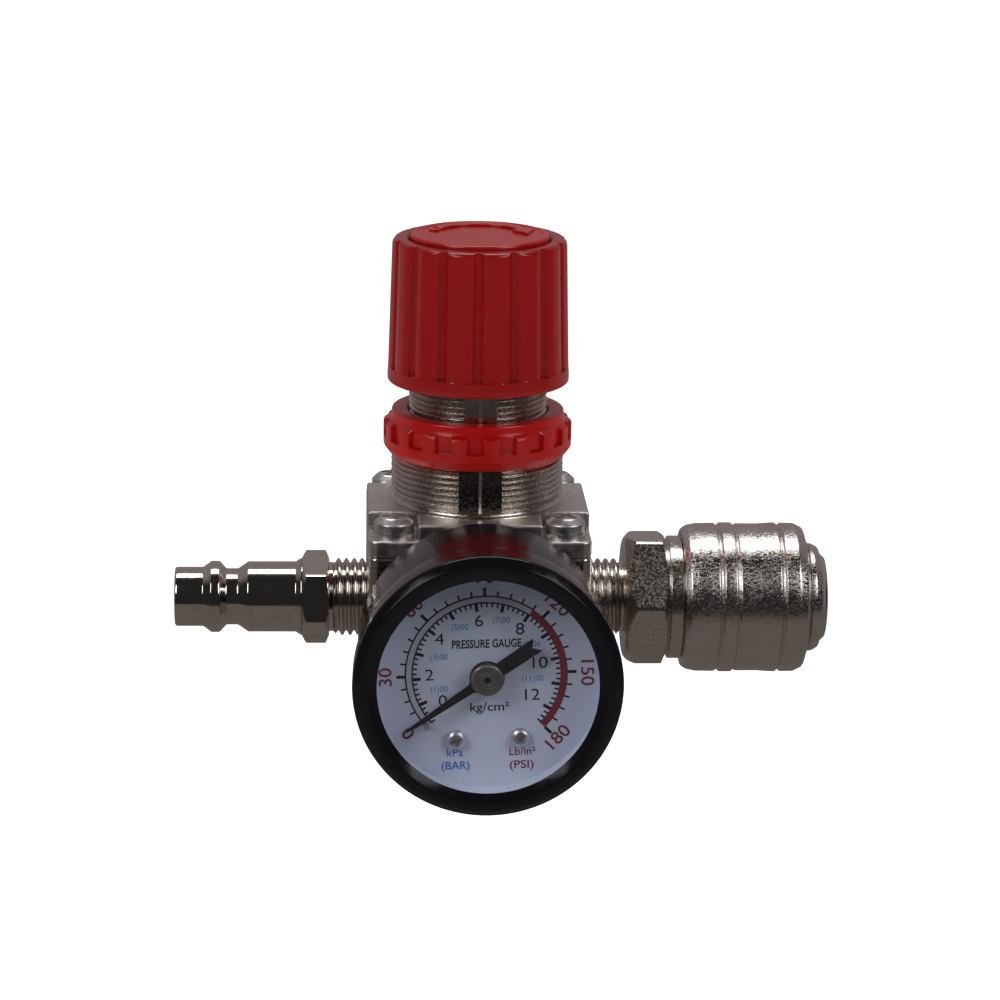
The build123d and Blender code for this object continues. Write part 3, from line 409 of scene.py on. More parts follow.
def rounded(*corners, steps=5, closed=True):
    """The points of an outline in which a corner's third number, if it has one, is its radius."""
    points = []
    count = len(corners)
    for index, corner in enumerate(corners):
        at = Vector(corner[:2])
        end = not closed and index in (0, count - 1)
        if len(corner) == 2 or end:
            points.append(tuple(at))
            continue
        back = Vector(corners[index - 1][:2]) - at
        ahead = Vector(corners[(index + 1) % count][:2]) - at
        half = back.angle(ahead) / 2
        reach = min(corner[2] / math.tan(half), 0.49 * back.length, 0.49 * ahead.length)
        radius = reach * math.tan(half)
        back.normalize()
        ahead.normalize()
        centre = at + (back + ahead).normalized() * (radius / math.sin(half))
        first = at + back * reach - centre
        last = at + ahead * reach - centre
        sweep = first.angle_signed(last)
        for step in range(steps + 1):
            turned = first.copy()
            turned.rotate(Matrix.Rotation(-sweep * step / steps, 2))
            points.append(tuple(centre + turned))
    return points


def polar(radius, degrees):
    """A place in a plane by its distance from the middle and its direction."""
    return radius * math.cos(math.radians(degrees)), radius * math.sin(math.radians(degrees))


def around(count, *extra):
    """Directions round an axis, evenly spread, with some more where a shape needs them."""
    even = np.linspace(0, 2 * math.pi, count + 1)
    more = np.mod(np.array(extra, float).ravel(), 2 * math.pi)
    every = np.sort(np.concatenate([even, more]))
    keep = np.concatenate([[True], np.diff(every) > 1e-5])
    return every[keep]


def placed(axis, along, out, turn):
    """Points in the frame, from a place along an axis, a distance out from it and a direction round it."""
    along, out = np.broadcast_to(along, turn.shape), np.broadcast_to(out, turn.shape)
    across, up = out * np.cos(turn), out * np.sin(turn)
    if axis == "X":
        return np.stack([along, across, up], -1)
    if axis == "Z":
        return np.stack([across, up, along], -1)
    return np.stack([across, along, up + GAUGE_Z], -1)


def spun(name, axis, rings, turn, closed=True):
    """A mesh through rings round an axis.

    A ring is (place along, distance out), each a number or one per direction.
    """
    rows = [placed(axis, along, out, turn) for along, out in rings]
    points = np.concatenate(rows) * MM
    columns = len(turn)
    faces = []
    for row in range(len(rows) if closed else len(rows) - 1):
        low, high = row * columns, (row + 1) % len(rows) * columns
        for column in range(columns - 1):
            faces.append((low + column, low + column + 1, high + column + 1, high + column))
    mesh = bpy.data.meshes.new(name)
    mesh.from_pydata(points.tolist(), [], faces)
    return tidy_mesh(mesh)


def lofted(name, first_end, last_end):
    """A solid between two flat outlines with as many points."""
    work = bmesh.new()
    rows = [[work.verts.new(Vector(point) * MM) for point in end] for end in (first_end, last_end)]
    count = len(first_end)
    work.faces.new(rows[0][::-1])
    work.faces.new(rows[1])
    for index in range(count):
        after = (index + 1) % count
        work.faces.new((rows[0][index], rows[0][after], rows[1][after], rows[1][index]))
    bmesh.ops.recalc_face_normals(work, faces=work.faces)
    mesh = bpy.data.meshes.new(name)
    work.to_mesh(mesh)
    work.free()
    return mesh


def outline_solid(name, corners, axis, start, end):
    """A straight-sided solid: an outline drawn across an axis, from one place along it to another."""
    def outline(along):
        if axis == "Y":
            return [(first, along, second) for first, second in corners]
        return [(first, second, along) for first, second in corners]

    return lofted(name, outline(start), outline(end))


def moved(mesh, matrix):
    """A mesh after a move, which is given in millimetres."""
    scaled = matrix.copy()
    scaled.translation = matrix.translation * MM
    mesh.transform(scaled)
    return mesh


def worked(name, base, steps):
    """Works a solid: each step is a cutting mesh, or a number for a bevel of that many millimetres."""
    body = bpy.data.objects.new(name, base)
    bpy.context.scene.collection.objects.link(body)
    tools = []
    for step in steps:
        if isinstance(step, (int, float)):
            bevel = body.modifiers.new("bevel", "BEVEL")
            bevel.width = step * MM
            bevel.segments = 3
            bevel.limit_method = "ANGLE"
            bevel.angle_limit = BEVEL_ABOVE
            continue
        tool = bpy.data.objects.new(name + "_tool", step)
        bpy.context.scene.collection.objects.link(tool)
        tools.append(tool)
        cut = body.modifiers.new("cut", "BOOLEAN")
        cut.operation = "DIFFERENCE"
        cut.solver = "EXACT"
        cut.object = tool
    bpy.context.view_layer.update()
    ready = body.evaluated_get(bpy.context.evaluated_depsgraph_get())
    mesh = bpy.data.meshes.new_from_object(ready)
    mesh.name = name
    for spare in [body, *tools]:
        bpy.data.objects.remove(spare)
    return tidy_mesh(mesh)


def even_shading(made):
    """Keeps large flat faces flat beside small rounded edges."""
    weighted = made.modifiers.new("flat_faces", "WEIGHTED_NORMAL")
    weighted.keep_sharp = True
    return made


def joined(name, meshes):
    """Several meshes as one."""
    work = bmesh.new()
    for mesh in meshes:
        work.from_mesh(mesh)
        bpy.data.meshes.remove(mesh)
    mesh = bpy.data.meshes.new(name)
    work.to_mesh(mesh)
    work.free()
    return mesh


# ================================================================ threads and hexagons
THREAD_SHAPE = (            # share of the pitch, and how far up to the crest
    (0.0, 0.0), (0.09, 0.03), (0.2, 0.35), (0.34, 0.88), (0.45, 1.0), (0.57, 1.0), (0.68, 0.88), (0.82, 0.35),
    (0.93, 0.03),
)


def thread(start, end, crest, depth, pitch, turn):
    """Rings of a right-hand thread, run out at both ends."""
    for lap in range(-1, int((end - start) / pitch) + 2):
        for share, rise in THREAD_SHAPE:
            along = np.clip(start + (lap + share + turn / (2 * math.pi)) * pitch, start, end)
            run_out = np.minimum(along - start, end - along)
            yield along, crest - depth + np.minimum(depth * rise, run_out)


CORNER_CUT = 0.985          # what is left of a hexagon's corner after rounding
FACE_SHARE = 0.965          # the flat round face at a hexagon's end, as a share of its width


def hex_turn(turned, count=96):
    """Directions for a hexagon, with the edges of its rounded corners among them."""
    edge = 30 - math.degrees(math.acos(math.cos(math.radians(30)) / CORNER_CUT))
    parts = (-edge, -edge / 2, 0, edge / 2, edge)
    return around(count, np.radians([turned + 60 * side + part for side in range(6) for part in parts]))


def hexagon(start, end, across, turned, start_cut, end_cut, turn):
    """Rings of a hexagon nut: its corners are turned down over start_cut and end_cut at the two ends."""
    from_flat = np.mod(turn - math.radians(turned), math.radians(60)) - math.radians(30)
    corner = across / math.sqrt(3)
    face = across / 2 * FACE_SHARE
    out = np.minimum(across / 2 / np.cos(from_flat), corner * CORNER_CUT)
    rise = (out - face) / (corner - face)
    yield start, face - 0.25
    yield start + 0.1, face
    yield start + start_cut * rise, out
    yield end - end_cut * rise, out
    yield end - 0.1, face
    yield end, face - 0.25


# ================================================================ body and bonnet
CASTING_CORNER = 1.6        # rounding of the casting's upright corners
PORT_HOLE_R, PORT_HOLE_END = 6.6, 9.5
GAUGE_HOLE_R, GAUGE_PASSAGE_Z = 4.9, 2.5
PASSAGE_START = PORT_HOLE_END + 0.1
DIAPHRAGM_SEAT_R, OUTLET_ROOM_R, VALVE_ROOM_R = 16.05, 13.0, 6.5
VALVE_HOLE_R = 3.2
BOTTOM_HOLE_R, BOTTOM_SEAL_R = 7.5, 8.95
SCREW_HOLE_R, SCREW_CLEAR_R = 1.95, 2.2
BARREL_HOLE_R = 14.05
NOTCH_X, NOTCH_Y = 10.3, 9.9


def rounded_square(half, radius):
    """The outline of a square with rounded corners."""
    corners = [(-half, -half, radius), (half, -half, radius), (half, half, radius), (-half, half, radius)]
    return rounded(*corners, steps=6)


def bore(direction, *profile):
    """A round cutting tool on the gauge's, the air line's or the knob's axis, by (place along, radius)."""
    outline = [(profile[0][0], 0), *profile, (profile[-1][0], 0)]
    return spun("bore", direction, outline, around(72), closed=False)


def screw_bores(radius, start, end):
    """Cutting tools for the four bonnet screws."""
    for x, y in CORNERS:
        hole = bore("Z", (start, radius), (end, radius))
        yield moved(hole, Matrix.Translation((x * SCREW_AT, y * SCREW_AT, 0)))


def body_mesh():
    """The cast block, with its rooms and its threaded holes."""
    block = outline_solid("block", rounded_square(BODY_HALF, CASTING_CORNER), "Z", BODY_BOTTOM, SPLIT_Z)
    steps = [0.6]
    rim, face = SPLIT_Z + 1, BODY_HALF + 1
    steps.append(bore("Z", (11.5, DIAPHRAGM_SEAT_R), (rim, DIAPHRAGM_SEAT_R)))
    steps.append(bore("Z", (1.5, VALVE_ROOM_R), (5.5, VALVE_ROOM_R), (5.5, OUTLET_ROOM_R),
                      (rim, OUTLET_ROOM_R)))
    steps.append(bore("Z", (BODY_BOTTOM - 1, BOTTOM_SEAL_R), (BODY_BOTTOM + 1.4, BOTTOM_SEAL_R),
                      (BODY_BOTTOM + 1.4, BOTTOM_HOLE_R), (-1.0, BOTTOM_HOLE_R), (-1.0, VALVE_HOLE_R),
                      (3.0, VALVE_HOLE_R)))
    for side, height in ((-1, -3.5), (1, 3.5)):
        steps.append(bore("X", (side * face, 7.9), (side * (BODY_HALF - 0.7), PORT_HOLE_R),
                          (side * PORT_HOLE_END, PORT_HOLE_R)))
        passage = bore("X", (side * PASSAGE_START, 2.5), (side * 4.5, 2.5))
        steps.append(moved(passage, Matrix.Translation((0, 0, height))))
        steps.append(bore("Y", (side * face, 6.2), (side * (BODY_HALF - 0.6), GAUGE_HOLE_R),
                          (side * PORT_HOLE_END, GAUGE_HOLE_R)))
        passage = bore("Y", (side * PASSAGE_START, 1.2), (side * 5.0, 1.2))
        steps.append(moved(passage, Matrix.Translation((0, 0, GAUGE_PASSAGE_Z))))
    steps += screw_bores(SCREW_HOLE_R, SPLIT_Z - 11, rim)
    return worked("body_block", block, steps)


def flange_mesh():
    """The bonnet's square foot, notched at its corners for the screws."""
    foot = outline_solid("foot", rounded_square(BODY_HALF, CASTING_CORNER), "Z", SPLIT_Z + 0.02, FLANGE_TOP)
    far = BODY_HALF + 3
    steps = []
    for x, y in CORNERS:
        near_x, near_y, far_x, far_y = x * NOTCH_X, y * NOTCH_Y, x * far, y * far
        corners = [(near_x, near_y), (far_x, near_y), (far_x, far_y), (near_x, far_y)]
        steps.append(outline_solid("notch", corners, "Z", SCREW_SEAT, FLANGE_TOP + 1))
    steps.append(0.45)
    steps.append(bore("Z", (SPLIT_Z - 1, BARREL_HOLE_R), (FLANGE_TOP + 1, BARREL_HOLE_R)))
    steps += screw_bores(SCREW_CLEAR_R, SPLIT_Z - 1, SCREW_SEAT + 1)
    return worked("bonnet_flange", foot, steps)


BARREL_CREST, BARREL_FLAT = 14.5, 3.7       # the large thread under the lock ring, and half its flats' width
NECK_CREST, NECK_FLAT = 11.6, 2.85          # the thread from there up to the knob
BONNET_DEPTH, BONNET_PITCH = 0.62, 1.0
BARREL_THREAD_START, BARREL_TOP = 18.4, 25.5
RIDGE_HALF = 0.16
FLAT_BLEND = 0.12                           # how soon a flat takes over from the thread


def flattened(turn, rings, crest, half_width, ridge):
    """Rings with smooth flats across them, front and back, each with a fine ridge down its middle."""
    flat = math.sqrt(crest**2 - half_width**2)
    sideways = np.abs(np.cos(turn)) * crest
    level = flat / np.maximum(np.abs(np.sin(turn)), 1e-3) + ridge * np.exp(-(sideways / RIDGE_HALF) ** 2)
    share = np.clip((half_width - np.abs(np.cos(turn)) * level) / FLAT_BLEND, 0, 1)
    for along, out in rings:
        yield along * np.ones_like(turn), out * (1 - share) + level * share


def bonnet_mesh():
    """The bonnet's threaded barrel: a large thread under the lock ring and a smaller one up to the knob."""
    near_ridge = [90 + part for part in (-2, -1.4, -1.0, -0.7, -0.4, 0, 0.4, 0.7, 1.0, 1.4, 2)]
    offsets = list(near_ridge)
    for crest, half_width in ((BARREL_CREST, BARREL_FLAT), (NECK_CREST, NECK_FLAT)):
        edge = math.degrees(math.acos(half_width / crest))
        for part in (0, 0.25, 0.5, 0.8):
            offsets += [edge + part, 180 - edge - part]
    turn = around(144, np.radians(offsets), np.radians([-part for part in offsets]))
    neck_root, spring_room_r, foot_room_r, screw_hole_r = 10.98, 9.3, 12.4, 4.95
    rings = [(12.1, foot_room_r), (12.1, 14.0)]
    flare = rounded((FLANGE_TOP - 0.3, 14.9), (FLANGE_TOP + 0.1, 14.75), (FLANGE_TOP + 0.15, 14.05, 0.6),
                    (BARREL_THREAD_START, 13.88), closed=False)
    rings += [(FLANGE_TOP - 0.4, 14.0), *flare]
    lower = thread(BARREL_THREAD_START, BARREL_TOP, BARREL_CREST, BONNET_DEPTH, BONNET_PITCH, turn)
    rings += flattened(turn, lower, BARREL_CREST, BARREL_FLAT, 0.14)
    rings += [(BARREL_TOP, 13.7), (BARREL_TOP, neck_root)]
    upper = thread(BARREL_TOP + 0.1, 47.9, NECK_CREST, BONNET_DEPTH, BONNET_PITCH, turn)
    rings += flattened(turn, upper, NECK_CREST, NECK_FLAT, 0.1)
    rings += [(NECK_TOP - 0.3, neck_root), (NECK_TOP, 10.5), (NECK_TOP, screw_hole_r), (44.0, screw_hole_r)]
    rings += [(44.0, spring_room_r), (16.0, spring_room_r), (16.0, foot_room_r)]
    return spun("bonnet_threads", "Z", rings, turn)


even_shading(piece("body_casting", body_mesh(), "housing", "nickel_casting", CAST, "body"))
even_shading(piece("bonnet_foot", flange_mesh(), "housing", "nickel_casting", SATIN, "bonnet"))
piece("bonnet_barrel", bonnet_mesh(), "housing", "nickel_casting", CUT, "bonnet")


def cross_cut(reach, width, top, depth):
    """A cutting tool for a cross recess, tapering with its depth."""
    ends = []
    for along, share in ((top + 0.5, 1.05), (top - depth, 0.7)):
        half, thick = reach * share, width / 2 * (0.6 + 0.4 * share)
        corners = ((-half, -thick), (half, -thick), (half, thick), (-half, thick))
        ends.append([(x, y, along) for x, y in corners])
    arms = []
    for turned in (0, 90):
        arm = lofted("arm", *ends)
        arm.transform(Matrix.Rotation(math.radians(turned), 4, "Z"))
        arms.append(arm)
    return arms


def pan_screw(name, head_r, head_height, shank_r, shank_length, recess, turned):
    """A pan-head screw with a cross recess, standing at the origin with its head's foot at 0."""
    outline = rounded((-shank_length, 0), (-shank_length, shank_r * 0.7), (-shank_length + 0.5, shank_r),
                      (0, shank_r), (0, head_r, 0.15), (head_height * 0.55, head_r, 0.45),
                      (head_height * 0.93, head_r * 0.68, 0.9), (head_height, 0), closed=False, steps=6)
    head = spun(name, "Z", outline, around(72), closed=False)
    mesh = worked(name, head, cross_cut(recess, recess * 0.42, head_height, head_height * 0.62))
    mesh.transform(Matrix.Rotation(math.radians(turned), 4, "Z"))
    return mesh


HEAD_FOOT = SCREW_SEAT + 0.9        # on top of the spring washer
HEAD_R, SHANK_R, RECESS = 3.3, 1.85, 2.15
for number, (x, y, turned) in enumerate(((-1, -1, 12), (1, -1, 48), (1, 1, 25), (-1, 1, 70))):
    screw_name = f"bonnet_screw_{number + 1}"
    screw = pan_screw(screw_name, HEAD_R, SCREW_TOP - HEAD_FOOT, SHANK_R, HEAD_FOOT - 2.0, RECESS, turned)
    moved(screw, Matrix.Translation((x * SCREW_AT, y * SCREW_AT, HEAD_FOOT)))
    piece(screw_name, screw, "housing", "zinc_fastener", ZINC, "bonnet_screws")


def bottom_plug_mesh():
    """The plug under the valve, a hexagon head on a short barrel, with a fine groove in its face."""
    turn = hex_turn(0)
    across, barrel_r, boss_r, guide_r = 17.8, 7.4, 3.2, 2.45
    groove = PLUG_BOTTOM + 0.15
    rings = [(PLUG_BOTTOM, 0), (PLUG_BOTTOM, 5.2), (groove, 5.35), (groove, 6.6), (PLUG_BOTTOM, 6.75)]
    rings += hexagon(PLUG_BOTTOM, BODY_BOTTOM - 0.02, across, 0, 0.9, 0.3, turn)
    rings += [(BODY_BOTTOM, barrel_r), (-11.0, barrel_r), (-11.0, boss_r), (-8.8, boss_r), (-8.8, guide_r)]
    rings += [(BODY_BOTTOM - 1.5, guide_r), (BODY_BOTTOM - 1.5, 0)]
    return spun("bottom_plug_head", "Z", rings, turn, closed=False)


piece("bottom_plug_head", bottom_plug_mesh(), "housing", "nickel_casting", CAST, "bottom_plug")

# ================================================================ knob and lock ring
FLUTES = 15
FLUTE_HALF = 1.05
FLUTE_DEPTH = 0.95
FLUTE_FOOT = KNOB_BOTTOM + 2.5
FLUTE_PITCH = 2 * math.pi / FLUTES
FLUTE_TURN = math.radians(-92.8)
RIB_CROWN = 0.3             # how far a rib falls off from its middle to the flute's edge
KNOB_TOP_R = 14.6
KNOB_ROOM_R, KNOB_ROOM_TOP = 12.3, 55.5
CAP_ROOM_R = 11.7


def knob_mesh():
    """The knob: shallow flutes between broad ribs, each ending in a ledge a little above the bottom edge."""
    across = (0, 0.3, 0.55, 0.75, 0.88, 0.96, 1.02, 1.2, 1.6, 2.1, 2.6)
    offsets = [side * part / KNOB_R for part in across for side in (-1, 1)] + [FLUTE_PITCH / 2]
    turn = around(0, 0, 2 * math.pi - ALMOST, *(
        FLUTE_TURN + FLUTE_PITCH * flute + offset for flute in range(FLUTES) for offset in offsets
    ))
    aside = np.abs(np.mod(turn - FLUTE_TURN + FLUTE_PITCH / 2, FLUTE_PITCH) - FLUTE_PITCH / 2) * KNOB_R
    groove = np.maximum(0, 1 - (aside / FLUTE_HALF) ** 2) ** 0.8 * FLUTE_DEPTH
    rib_half = FLUTE_PITCH / 2 * KNOB_R
    crown = RIB_CROWN * np.maximum(0, (rib_half - aside) / (rib_half - FLUTE_HALF)) ** 2
    crown = np.where(aside < FLUTE_HALF, RIB_CROWN, crown)

    def side_r(z):
        return KNOB_R + (z - KNOB_BOTTOM) / (KNOB_TOP - KNOB_BOTTOM) * (KNOB_TOP_R - KNOB_R)

    def ribbed(z, out, share=1.0):
        return np.minimum(out, side_r(z) - share * np.maximum(groove, crown))

    rings = [(KNOB_BOTTOM, 12.4)]
    rings += rounded((KNOB_BOTTOM, 14.2), (KNOB_BOTTOM, KNOB_R, 0.5), (KNOB_BOTTOM + 1.4, KNOB_R),
                     closed=False)[1:]
    rings.append((FLUTE_FOOT - 0.35, side_r(FLUTE_FOOT)))
    for rise, share in ((0, 0.02), (0.06, 0.55), (0.12, 1.0)):
        rings.append((FLUTE_FOOT + rise, ribbed(FLUTE_FOOT, KNOB_R, share)))
    for share in (0.02, 0.1, 0.3, 0.5, 0.7, 0.9):
        z = FLUTE_FOOT + (KNOB_TOP - 1.3 - FLUTE_FOOT) * share
        rings.append((z, ribbed(z, KNOB_R)))
    shoulder = rounded((KNOB_TOP - 2.2, KNOB_TOP_R), (KNOB_TOP, KNOB_TOP_R, 1.25), (KNOB_TOP, 12.6),
                       closed=False, steps=9)
    rings += [(z, ribbed(z, out)) for z, out in shoulder[1:-1]]
    rings += rounded((KNOB_TOP, 13.2), (KNOB_TOP, 12.2, 0.35), (KNOB_TOP - 0.7, 11.75, 0.2),
                     (CAP_BOTTOM, CAP_ROOM_R), closed=False)[1:]
    rings += [(CAP_BOTTOM, 0), (KNOB_ROOM_TOP, 0), (KNOB_ROOM_TOP, KNOB_ROOM_R)]
    rings.append((KNOB_BOTTOM + 0.3, KNOB_ROOM_R))
    return spun("knob_shell", "Z", rings, turn)


def cap_mesh():
    """The disc on the knob's top, with a raised rim."""
    foot, top = CAP_BOTTOM + 0.02, CAP_TOP - 0.3
    rings = rounded((foot, 0), (foot, CAP_R), (top, CAP_R, 0.55), (top, 10.6, 0.15), (top - 0.16, 10.3, 0.2),
                    (top - 0.16, 0), closed=False)
    return spun("knob_cap_disc", "Z", rings, around(120), closed=False)


ARROW_OUT, ARROW_IN = 8.9, 7.1


def arrow_mesh():
    """The curved arrow moulded on the cap, which shows the way to turn, and the bar at its tail."""
    sweep = [150 - 5 * step for step in range(26)]
    arrow = [(ARROW_OUT, degrees) for degrees in sweep] + [(10.0, 22), (8.0, -6), (5.9, 22)]
    arrow += [(ARROW_IN, degrees) for degrees in reversed(sweep)]
    tail = [(ARROW_OUT, 163), (ARROW_OUT, 157), (ARROW_IN, 157), (ARROW_IN, 163)]
    shapes = []
    for places in (arrow, tail):
        corners = [polar(radius, degrees) for radius, degrees in places]
        solid = outline_solid("arrow", corners, "Z", CAP_TOP - 0.6, CAP_TOP - 0.05)
        shapes.append(worked("knob_arrow", solid, [0.16]))
    return shapes


# The knob shell takes the darker red: painted shade over the same plastic.
piece("knob_shell", knob_mesh(), "knob", "red_plastic", SHADED_RED, "knob")
even_shading(piece("knob_cap_disc", cap_mesh(), "knob", "red_plastic", RED, "knob_cap"))
even_shading(piece("knob_arrow", joined("knob_arrow", arrow_mesh()), "knob", "red_plastic", RED, "knob_cap"))

RING_POCKETS = 18
RING_TURN = -math.pi / 2 - math.radians(3.4)
POCKET_HALF = math.radians(5.4)
POCKET_FLOOR_R = 15.0
RING_RIM_R = 14.5
RING_HOLE_R = 11.7


def ring_mesh():
    """The lock ring: a plain band below, finger pockets above it, and a thin rim at the top."""
    pitch = 2 * math.pi / RING_POCKETS
    parts = (0, 0.35, 0.7, 0.9, 0.96, 1.0, 1.05, 1.12, 1.4, 1.7)
    turn = around(0, 0, 2 * math.pi - ALMOST, *(
        RING_TURN + pitch * number + side * part * POCKET_HALF
        for number in range(RING_POCKETS) for part in parts for side in (-1, 1)
    ))
    aside = np.abs(np.mod(turn - RING_TURN + pitch / 2, pitch) - pitch / 2) / POCKET_HALF
    block = np.clip((aside - 0.9) / 0.12, 0, 1)
    block = block * block * (3 - 2 * block) - 0.06 * np.clip((1.3 - aside) / 0.3, 0, 1)
    block = np.clip(block, 0, 1)

    def pocketed(out, share=1.0):
        return out - share * np.maximum(0, out - POCKET_FLOOR_R) * (1 - block)

    rings = [(RING_BOTTOM, 12.1)]
    rings += rounded((RING_BOTTOM, 12.0), (RING_BOTTOM, 14.7, 0.5), (RING_BOTTOM + 1.5, RING_R, 0.8),
                     (RING_BOTTOM + 2.7, RING_R), closed=False)[1:]
    foot = RING_BOTTOM + 2.95
    for rise, share in ((0, 0.04), (0.08, 0.5), (0.16, 1.0), (1.2, 1.0)):
        rings.append((foot + rise, pocketed(RING_R, share)))
    shoulder = rounded((RING_TOP - 2.9, RING_R), (RING_TOP - 2.1, RING_R, 0.5),
                       (RING_TOP - 1.5, RING_RIM_R + 0.25, 0.25), (RING_TOP - 0.6, RING_RIM_R), closed=False)
    rings += [(along, pocketed(out)) for along, out in shoulder]
    rings += rounded((RING_TOP - 0.7, RING_RIM_R), (RING_TOP, RING_RIM_R - 0.05, 0.35),
                     (RING_TOP, 12.0, 0.25), (RING_TOP - 0.5, RING_HOLE_R), closed=False)[1:]
    rings += [(RING_BOTTOM + 0.4, RING_HOLE_R)]
    return spun("lock_ring_body", "Z", rings, turn)


piece("lock_ring_body", ring_mesh(), "lock_ring", "red_plastic", RED, "lock_ring")

# ================================================================ inlet plug and outlet coupler
PORT_PITCH = 1.337
PORT_CREST = 6.58
PORT_DEPTH = 0.75
FLOW_R = 3.5
PLUG_HEX, PLUG_HEX_TURN = 14.0, 80      # width across the flats, and turn round the air line
BASE_HEX, BASE_HEX_TURN = 21.0, 54
NOSE_R, BEAD_R, CATCH_R, SHAFT_R = 5.05, 6.08, 4.8, 6.0
PLUG_HEX_START, PLUG_HEX_END, PLUG_THREAD_START = -29.6, -24.9, -24.3
BASE_HEX_START, BASE_HEX_END, BASE_THREAD_END = 25.2, 32.3, 24.6
COLLAR_R, COLLAR_END, SPIGOT_R = 10.5, 34.9, 9.0
VALVE_SPRING_ROOM_R, VALVE_SPRING_ROOM_END = 6.4, 29.0


def inlet_plug_mesh():
    """The hose plug: nose, bead and neck that a coupler grips, then a hexagon and the port's thread."""
    turn = hex_turn(PLUG_HEX_TURN)
    rings = rounded(
        (NOSE_END, 3.95, 0.1), (NOSE_END, NOSE_R, 0.5), (-46.3, NOSE_R, 0.25), (-44.9, BEAD_R, 0.25),
        (-43.5, BEAD_R, 0.6), (-42.35, CATCH_R, 0.3), (-40.4, CATCH_R, 0.5), (-38.65, SHAFT_R, 0.35),
        (-30.6, SHAFT_R, 0.3), (-29.7, 6.6), closed=False,
    )
    rings += hexagon(PLUG_HEX_START, PLUG_HEX_END, PLUG_HEX, PLUG_HEX_TURN, 0.9, 0.7, turn)
    rings += [(PLUG_HEX_END, 5.95), (PLUG_THREAD_START, PORT_CREST - PORT_DEPTH)]
    rings += thread(PLUG_THREAD_START, PLUG_END, PORT_CREST, PORT_DEPTH, PORT_PITCH, turn)
    rings += [(PLUG_END, FLOW_R), (NOSE_END + 0.5, FLOW_R)]
    return spun("hose_plug", "X", rings, turn)


def adapter_mesh():
    """The coupler's inner end: port thread, hexagon and neck."""
    turn = hex_turn(BASE_HEX_TURN)
    rings = [(ADAPTER_START, FLOW_R)]
    rings += thread(ADAPTER_START, BASE_THREAD_END, PORT_CREST, PORT_DEPTH, PORT_PITCH, turn)
    rings += [(25.0, 5.9), (BASE_HEX_START, 8.6)]
    rings += hexagon(BASE_HEX_START, BASE_HEX_END, BASE_HEX, BASE_HEX_TURN, 1.9, 1.0, turn)
    rings += rounded(
        (BASE_HEX_END, 9.9), (32.65, 10.05, 0.1), (32.75, COLLAR_R, 0.15), (COLLAR_END, COLLAR_R, 0.15),
        (COLLAR_END, SPIGOT_R), (ADAPTER_END, SPIGOT_R), (ADAPTER_END, VALVE_SPRING_ROOM_R),
        (VALVE_SPRING_ROOM_END, VALVE_SPRING_ROOM_R), (VALVE_SPRING_ROOM_END, FLOW_R), closed=False,
    )
    return spun("coupler_base", "X", rings, turn)


SLEEVE_SLIDE_R = 10.6       # where the sleeve rides on the barrel's back
LOCK_R, FREE_R = 8.25, 9.75 # what holds the balls in, and the room that they move out into


def sleeve_mesh():
    """The sliding sleeve: beads and grooves outside, and the steps that hold and free the balls inside."""
    outline = rounded(
        (SLEEVE_START, SLEEVE_SLIDE_R, 0.15), (SLEEVE_START, 11.75, 0.3), (36.0, 12.35, 0.6),
        (37.6, 12.66, 1.0), (40.7, 12.7, 0.3), (41.15, 12.28, 0.2), (41.65, 12.78, 0.35), (43.6, 12.78, 0.35),
        (44.0, 12.32, 0.2), (44.45, 12.62, 0.3), (48.0, 12.6, 2.0), (51.1, SLEEVE_R, 0.3),
        (51.62, 12.3, 0.18), (52.1, 12.74, 0.3), (54.3, 12.7, 0.7), (55.75, 12.0, 0.7), (56.1, 10.6, 0.4),
        (SLEEVE_END, 9.95, 0.1),
        (SLEEVE_END, 8.3, 0.15), (55.3, 8.1), (55.3, FREE_R), (53.2, FREE_R), (50.6, LOCK_R), (47.9, LOCK_R),
        (47.9, SLEEVE_SLIDE_R), steps=4,
    )
    return spun("sleeve_shell", "X", outline, around(144))


BARREL_R, SOCKET_R, BALL_ROOM_R, SEAL_ROOM_R, INNER_ROOM_R = 8.0, 6.15, 6.7, 7.0, 5.2
BALLS_AT, BALL_HOLE_R = 51.0, 1.63


def barrel_mesh():
    """The coupler's barrel, which holds the seal and the socket."""
    shoulder, cup_r = 42.0, 9.05
    outline = rounded(
        (BARREL_START, cup_r), (BARREL_START, COLLAR_R, 0.2), (shoulder, COLLAR_R), (shoulder, BARREL_R),
        (58.6, BARREL_R, 0.3), (59.2, 7.25, 0.2), (BARREL_END, 6.95, 0.1), (BARREL_END, 6.7, 0.1),
        (59.0, SOCKET_R, 0.2), (52.8, SOCKET_R), (52.8, BALL_ROOM_R), (48.6, BALL_ROOM_R),
        (48.6, SEAL_ROOM_R), (46.2, SEAL_ROOM_R), (46.2, INNER_ROOM_R), (40.4, INNER_ROOM_R), (40.4, cup_r),
    )
    shell = spun("barrel_shell", "X", outline, around(96))
    tools = []
    for ball in range(4):
        hole = bore("Z", (5.5, BALL_HOLE_R), (9.0, BALL_HOLE_R))
        hole.transform(Matrix.Rotation(math.radians(45 + 90 * ball), 4, "X"))
        tools.append(moved(hole, Matrix.Translation((BALLS_AT, 0, 0))))
    return worked("barrel_shell", shell, tools)


def stop_mesh():
    """The ring pressed on the barrel's end that keeps the sleeve on."""
    hole_r = BARREL_R + 0.02
    outline = rounded((STOP_START, hole_r), (STOP_START, STOP_R, 0.3), (57.5, STOP_R - 0.12, 0.4),
                      (STOP_END, 8.6, 0.25), (STOP_END, hole_r), steps=4)
    return spun("stop_ring", "X", outline, around(96))


